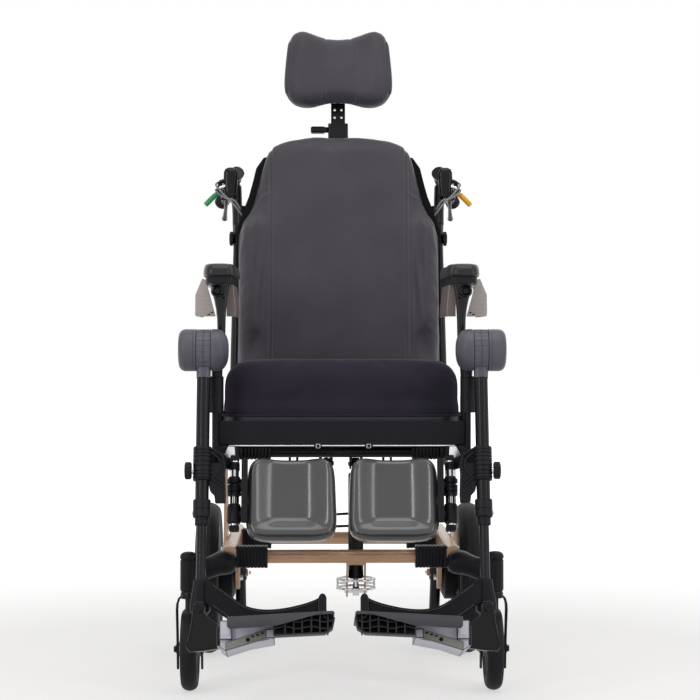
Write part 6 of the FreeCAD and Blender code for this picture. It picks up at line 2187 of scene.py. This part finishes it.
@dataclass(frozen=True)
class SeatBase:
    """The seat frame, plate and board, the springs and the hanging cables."""

    def build(self) -> None:
        """Dresses the seat's rigid parts."""

        def is_pin(low: Vector, high: Vector) -> bool:
            size = high - low
            return size.y < 30 and size.z < 30 and size.x < 60 and abs(low.x + high.x) / 2 > 170

        def is_sleeve(low: Vector, high: Vector) -> bool:
            return 50 < high.x - low.x < 64

        CarriedNode("seat_frame", BLACK_COAT, 0.8, (SolidRule(BLACK_NYLON, is_sleeve), SolidRule(ZINC, is_pin))).build()
        plain = [("seat_plate", ALUMINIUM, 0.5), ("seat_front_board", BOARD_COAT, 1.2)]
        plain += [(f"{name}_spring_cylinder", BLACK_COAT, 0.6) for name in ("tilt", "recline")]
        plain += [(f"{name}_spring_rod", ZINC, 0.4) for name in ("tilt", "recline")]
        for node, finish, soften in plain + [("control_cables", CABLE, 0.4)]:
            CarriedNode(node, finish, soften).build()
        self.strike_plates()

    def strike_plates(self) -> None:
        """The bright catch plates in front of the rails, and the plate's edge under the board with its two clips."""
        part = Shape()
        for side in Side:
            plate = Shape().prism(
                [(190, 413), (214, 413), (211, 430), (204, 445), (192, 445)], -15.2, -12.6
            ).rounded(0.8, 2)
            part.add(plate.on(side))
        for low, high in ((-203, -50), (-37, 41), (55, 203)):
            part.add(Shape().block((low, -2.0, 444.8), (high, 1.0, 446.8)).rounded(0.4, 1))
        for x in (-43, 48):
            part.add(Shape(slot=1).block((x - 4, -3.4, 441), (x + 4, 2.0, 449)).rounded(1.0, 2))
        make_piece("seat_catch_plates", part, [ZINC, BLACK_NYLON], "seat", "bright_steel")


@dataclass(frozen=True)
class BackFrame:
    """The canes, the headrest's clamp and post, with lobed star knobs on the canes."""

    cane_x: float = 201.0
    cane_radius: float = 12.5
    knob_height: float = 416.0

    def build(self, repeats: Repeats) -> None:
        """Dresses the back's frame."""

        def is_knob(low: Vector, high: Vector) -> bool:
            return max(abs(low.x), abs(high.x)) > 230

        def is_lug_pin(low: Vector, high: Vector) -> bool:
            return high.x - low.x < 40 and high.y - low.y < 12 and high.z - low.z < 12

        def draw_in(place: Vector) -> Vector:
            up = (DRAWING.back().inverted() @ place).z
            shift = 8.0 * smoothstep(60, 180, up) * smoothstep(120, 170, abs(place.x))
            return place - Vector((math.copysign(shift, place.x), 0, 0))

        CarriedNode("back_frame", BLACK_COAT, 0.8, (SolidRule(ZINC, is_lug_pin),), is_knob, draw_in).build()
        CarriedNode("headrest_post", BLACK_COAT, 0.8).build()
        knobs = Shape()
        for side in Side:
            origin = (self.cane_x + self.cane_radius, 0, self.knob_height)
            face = [(0, 0), (0, 4), (1, 4), (1, 10), (2, 12), (7, 12.4), (9, 10.5), (9, 0)]
            knob = Shape().lathe(face, origin, (1, 0, 0), 36)
            lobe = Shape().lathe(
                [(-3.2, 0), (-3.2, 2.6), (-2.4, 3.4), (2.4, 3.4), (3.2, 2.6), (3.2, 0)], (0, 0, 0), (0, 0, 1), 14
            )
            lobes = repeats.ring.run(None, lobe, BLACK_NYLON, Count=6, Radius=11.4)
            lobes.transform(quarter_turn(Y_AXIS, Vector(origin) + Vector((4.8, 0, 0))))
            knobs.add(knob.add(lobes).place(DRAWING.back()).on(side))
        make_piece("cane_star_knobs", knobs, BLACK_NYLON, "back", "black_plastic")


@dataclass(frozen=True)
class PushHandle:
    """A push handle: bent tube, ribbed grip, lever housing, brake lever, release lever and cables."""

    side: Side
    cane_x: float = 201.0
    top: float = 566.0
    bend: float = 28.0
    tube_radius: float = 10.5
    grip_long: float = 104.0

    def build(self, repeats: Repeats) -> None:
        """Makes every piece of the handle."""
        self.bar(repeats)
        self.brake_lever()
        self.release_lever()

    def route(self) -> tuple[Vector, Vector, Vector]:
        """The bend, the grip's end and the way between them, in the back's own frame."""
        top = Vector((self.cane_x, 0, self.top))
        end = Vector((self.cane_x + 43, 130, self.top - 45))
        return top, end, (end - top).normalized()

    def housing_places(self) -> tuple[Vector, Vector]:
        """The lever housing's place on the tube, and the brake lever's pivot below it."""
        top, _, way = self.route()
        at = top + way * 32
        return at, Vector((self.cane_x + 28, at.y - 15, at.z - 51))

    def bar(self, repeats: Repeats) -> None:
        """The tube with its ribbed grip, the housing and the cables."""
        node = f"push_handle_{self.side.label}"
        top, end, way = self.route()
        foot = Vector((self.cane_x, 0, 320))
        bar = Shape().tube(bent_path([foot, top, end], self.bend), self.tube_radius, 28)
        start = end - way * (self.grip_long - 4)
        grip = [
            (0, 10.6), (0, 14.4), (1.2, 15), (4.5, 15), (5.5, 13.8), (96, 13.8), (97, 14.8), (102, 15), (103.6, 13.4),
            (104, 10), (104, 0)
        ]
        bar.add(Shape(slot=1).lathe(grip, start, way, 40))
        ribs = repeats.row.run(None, rib_ring(14.9, 13.4, 3.0), RUBBER, 1, Count=17, Pitch=5.2)
        ribs.transform(Matrix.Translation(start + way * 9.5) @ way.to_track_quat("Z", "Y").to_matrix().to_4x4())
        bar.add(ribs)
        self.housing(bar, top, way)
        bar.place(DRAWING.back()).on(self.side)
        stand_in(node, bar, [BLACK_COAT, RUBBER, GLOSS_ABS, GREY_CABLE, ZINC])

    def housing(self, bar: Shape, top: Vector, way: Vector) -> None:
        """The lever housing with its ears, adjusters and cables.

        Args:
            bar: the handle, which takes the pieces in.
            top: the handle's bend.
            way: the grip's direction.
        """
        at, pivot = self.housing_places()
        levels = [
            (-51, 8, 8), (-47, 12, 9.5), (-30, 14, 10.6), (-10, 15, 11), (2, 14.5, 10.6), (8, 12, 9.5), (11, 7, 7)
        ]
        rings = [
            [(self.cane_x + 20 + u, at.y - 15 + v, at.z + z) for u, v in oval(wide, deep, 3.4, 32)]
            for z, wide, deep in levels
        ]
        bar.add(Shape(slot=2).loft(rings))
        bar.add(Shape(slot=2).lathe(
            [(0, 10.6), (0, 13.6), (1, 14.5), (15, 14.5), (16, 13.6), (16, 10.6)], top + way * 20, way, 36
        ))
        for low in (-11.4, 7.3):
            ear = [(-6, -7), (6, -7), (7, 14), (-7, 14)]
            bar.add(Shape(slot=2).prism(
                [(pivot.y + v, pivot.z + w) for v, w in ear], pivot.x + low, pivot.x + low + 4.1, Axis.X
            ).rounded(1.2, 2))
        bar.add(Shape(slot=4).lathe([(-12, 0), (-12, 3), (12, 3), (12, 0)], pivot, (1, 0, 0), 16))
        for n in range(2):
            seat = Vector((self.cane_x + 31, at.y - 19, at.z - 16 - 12 * n))
            out = Vector((0.93, -0.12, -0.34)).normalized()
            adjuster = [
                (0, 0), (0, 4.8), (3, 4.8), (3.4, 4), (4.4, 4), (4.8, 4.8), (7.4, 4.8), (7.8, 4), (8.8, 4), (9.2, 4.7)
            ]
            adjuster += [(12.4, 4.6), (13, 2.7), (18, 2.5), (18, 0)]
            bar.add(Shape(slot=4 if n else 2).lathe(adjuster, seat, out, 20))
            tip = seat + out * 15
            loop = smooth_path([
                tip, tip + Vector((5, -5, -6)), Vector((self.cane_x + 34 - 4 * n, -14, at.z - 50 - 8 * n)),
                Vector((self.cane_x + 8, -19, at.z - 78 + 10 * n)), Vector(
                    (self.cane_x - 13.5, -8 + 6 * n, at.z - 112)
                ),
                Vector((self.cane_x - 14, -4 + 6 * n, at.z - 150)), Vector((self.cane_x - 13, -2 + 6 * n, at.z - 215)),
            ], 8)
            bar.add(Shape(slot=3).tube(loop, 1.9, 10))
        clip = Shape(slot=2).lathe(
            [(-7, 10.6), (-7, 15.4), (7, 15.4), (7, 10.6)], (self.cane_x, 0, at.z - 100), (0, 0, 1), 28
        )
        bar.add(clip)

    def brake_lever(self) -> None:
        """The curved brake lever below the grip."""
        node = f"brake_lever_{self.side.label}"
        way = self.route()[2]
        pivot = self.housing_places()[1]
        tip = pivot + way * 100 + Vector((-22, 0, 7))
        line = smooth_path([
            pivot, pivot.lerp(tip, 0.25) + Vector((0, -1, -3)), pivot.lerp(tip, 0.6) + Vector((0, 0, -2)), tip
        ], 8)
        sizes = [5.6 - 1.8 * math.sin(math.pi * min(1, n / len(line))) for n in range(len(line))]
        lever = Shape().tube(line, sizes, 18)
        ball = [(-6, 0), (-5, 3.3), (-3, 5.2), (0, 6), (3, 5.2), (5, 3.3), (6, 0)]
        lever.add(Shape().lathe(ball, tip, way, 24))
        lever.add(Shape().lathe([(-7, 3.1), (-7, 6.5), (7, 6.5), (7, 3.1)], pivot, (1, 0, 0), 24))
        lever.place(DRAWING.back()).on(self.side)
        stand_in(node, lever, GLOSS_ABS, angle=TURNED)

    def release_lever(self) -> None:
        """The tilt or recline lever: a black arm with a coloured sleeve."""
        node, sleeve = ("tilt_lever", GREEN_SLEEVE) if self.side is Side.LEFT else ("recline_lever", YELLOW_SLEEVE)
        at = self.housing_places()[0]
        hub = Vector((self.cane_x + 41, at.y - 15, at.z - 28))
        knee = hub + Vector((5, 0, -13))
        tip = hub + Vector((31, 0, -39))
        arm = Shape().lathe([(-5, 3.1), (-5, 6), (5, 6), (5, 3.1)], hub, (0, 1, 0), 24)
        arm.add(Shape().tube(smooth_path([hub + Vector((5, 0, -2.5)), knee, knee.lerp(tip, 0.3)], 6), 3.9, 16))
        line = smooth_path([knee + Vector((-1, 0, 0.8)), knee.lerp(tip, 0.5) + Vector((0, 0, 0.8)), tip], 8)
        sizes = [4.6 + 0.9 * smoothstep(0, 0.3, n / len(line)) for n in range(len(line))]
        sizes[0], sizes[-1] = 4.0, 4.4
        arm.add(Shape(slot=1).tube(line, sizes, 20).rounded(0.8, 2, 50))
        arm.place(DRAWING.back()).on(self.side)
        stand_in(node, arm, [GLOSS_ABS, sleeve], angle=TURNED)


@dataclass(frozen=True)
class Studio:
    """Plain pale floor, white surround, soft lamps and the photograph's level camera."""

    camera_back: float = 3795.0
    camera_high: float = 644.0
    focal_pixels: float = 2116.0
    picture: float = 700.0
    sensor: float = 36.0
    camera_left: float = 55.0
    turned: float = 0.01824
    axis_down: float = 335.0

    def build(self) -> None:
        """Makes the camera, the floor, the world and the lamps."""
        scene = bpy.context.scene
        scene.view_settings.view_transform = "Standard"
        self.camera(scene)
        self.floor()
        self.world(scene)
        self.lamp("key_strip", (-1.7, -2.4, 1.7), (0, 0, 0.7), (0.45, 2.2), 20)
        self.lamp("fill_strip", (2.1, -1.9, 1.5), (0, 0, 0.6), (0.45, 2.2), 12)
        self.lamp("top_softbox", (0.2, -0.6, 3.0), (0, 0.1, 0.6), (1.8, 1.8), 18)
        self.lamp("rear_softbox", (0.6, 3.2, 2.2), (0, 0, 0.6), (2.2, 1.6), 10)

    def camera(self, scene: bpy.types.Scene) -> None:
        """A level camera that looks along +Y, shifted to the photograph's framing."""
        data = bpy.data.cameras.new("front_camera")
        data.sensor_width = self.sensor
        data.lens = self.focal_pixels / self.picture * self.sensor
        data.shift_y = -(self.picture / 2 - self.axis_down) / self.picture
        camera = add_object("front_camera", data)
        camera.location = TO_ROW @ Vector((-self.camera_left, -self.camera_back, self.camera_high))
        camera.rotation_euler = (math.pi / 2, 0, -self.turned)
        scene.camera = camera

    def white_for_camera(self, tree: bpy.types.NodeTree) -> NodeSocket:
        """1 for camera, glossy and transmission rays."""
        path = add_node(tree, "ShaderNodeLightPath").outputs
        first = add_node(
            tree, "ShaderNodeMath", {0: path["Is Camera Ray"], 1: path["Is Glossy Ray"]}, operation="MAXIMUM"
        )
        both = add_node(
            tree, "ShaderNodeMath", {0: first.outputs[0], 1: path["Is Transmission Ray"]}, operation="MAXIMUM"
        )
        return both.outputs[0]

    def floor(self) -> None:
        """A wide pale floor that keeps the chair's shadow and runs into the white surround."""
        sheet = Shape()
        far = 30000.0
        sheet.face([sheet.bm.verts.new((x, y, -0.3)) for x, y in ((-far, -far), (far, -far), (far, far), (-far, far))])
        data = sheet.mesh("floor")
        data.transform(TO_ROW)
        floor = add_object("floor", data)
        material = bpy.data.materials.new("studio_floor")
        material.use_nodes = True
        tree = material.node_tree
        tree.nodes.clear()
        lit = add_node(tree, "ShaderNodeBsdfDiffuse", {"Color": linear("#f4f1ef")})
        glow = add_node(tree, "ShaderNodeEmission", {"Color": (1, 1, 1, 1), "Strength": 1.37})
        where = add_node(tree, "ShaderNodeTexCoord").outputs["Object"]
        away = add_node(tree, "ShaderNodeVectorMath", {0: where}, operation="LENGTH")
        fade = add_node(
            tree, "ShaderNodeMapRange",
            {"Value": away.outputs["Value"], "From Min": 0.9, "From Max": 3.2, "To Min": 0.42, "To Max": 1.0},
        )
        share = add_node(
            tree, "ShaderNodeMath", {0: self.white_for_camera(tree), 1: fade.outputs[0]}, operation="MULTIPLY"
        )
        mixed = add_node(tree, "ShaderNodeMixShader", {0: share.outputs[0], 1: lit.outputs[0], 2: glow.outputs[0]})
        add_node(tree, "ShaderNodeOutputMaterial", {"Surface": mixed.outputs[0]})
        floor.data.materials.append(material)

    def world(self, scene: bpy.types.Scene) -> None:
        """White where it is seen or mirrored, and a soft even light elsewhere."""
        world = bpy.data.worlds.new("studio")
        scene.world = world
        world.use_nodes = True
        tree = world.node_tree
        tree.nodes.clear()
        strength = add_node(
            tree, "ShaderNodeMapRange", {"Value": self.white_for_camera(tree), "To Min": 0.3, "To Max": 1.0}
        )
        sky = add_node(tree, "ShaderNodeBackground", {"Color": (1, 1, 1, 1), "Strength": strength.outputs[0]})
        add_node(tree, "ShaderNodeOutputWorld", {"Surface": sky.outputs[0]})

    def lamp(self, name: str, place: Point, aim: Point, size: tuple[float, float], power: float) -> None:
        """A soft lamp.

        Args:
            name: its name.
            place: where it hangs, in metres.
            aim: what it points at.
            size: its width and height in metres.
            power: its power in watts.
        """
        data = bpy.data.lights.new(name, "AREA")
        data.shape = "RECTANGLE"
        data.size, data.size_y = size
        data.energy = power
        lamp = add_object(name, data)
        lamp.location = place
        lamp.rotation_euler = (Vector(aim) - Vector(place)).to_track_quat("-Z", "Y").to_euler()


def main() -> None:
    """Builds the whole chair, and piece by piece."""
    logging.basicConfig(level=logging.INFO, format="%(message)s")
    repeats = Repeats()
    Studio().build()
    Chassis().build(repeats)
    SeatBase().build()
    BackFrame().build(repeats)
    for side in Side:
        Caster(side).build(repeats)
        RearWheel(side).build(repeats)
        Legrest(side).build(repeats)
        Armrest(side).build(repeats)
        PushHandle(side).build(repeats)
    BackUpholstery().build(repeats)
    HeadrestUpholstery().build(repeats)
    SeatUpholstery().build()


if __name__ == "__main__":
    main()
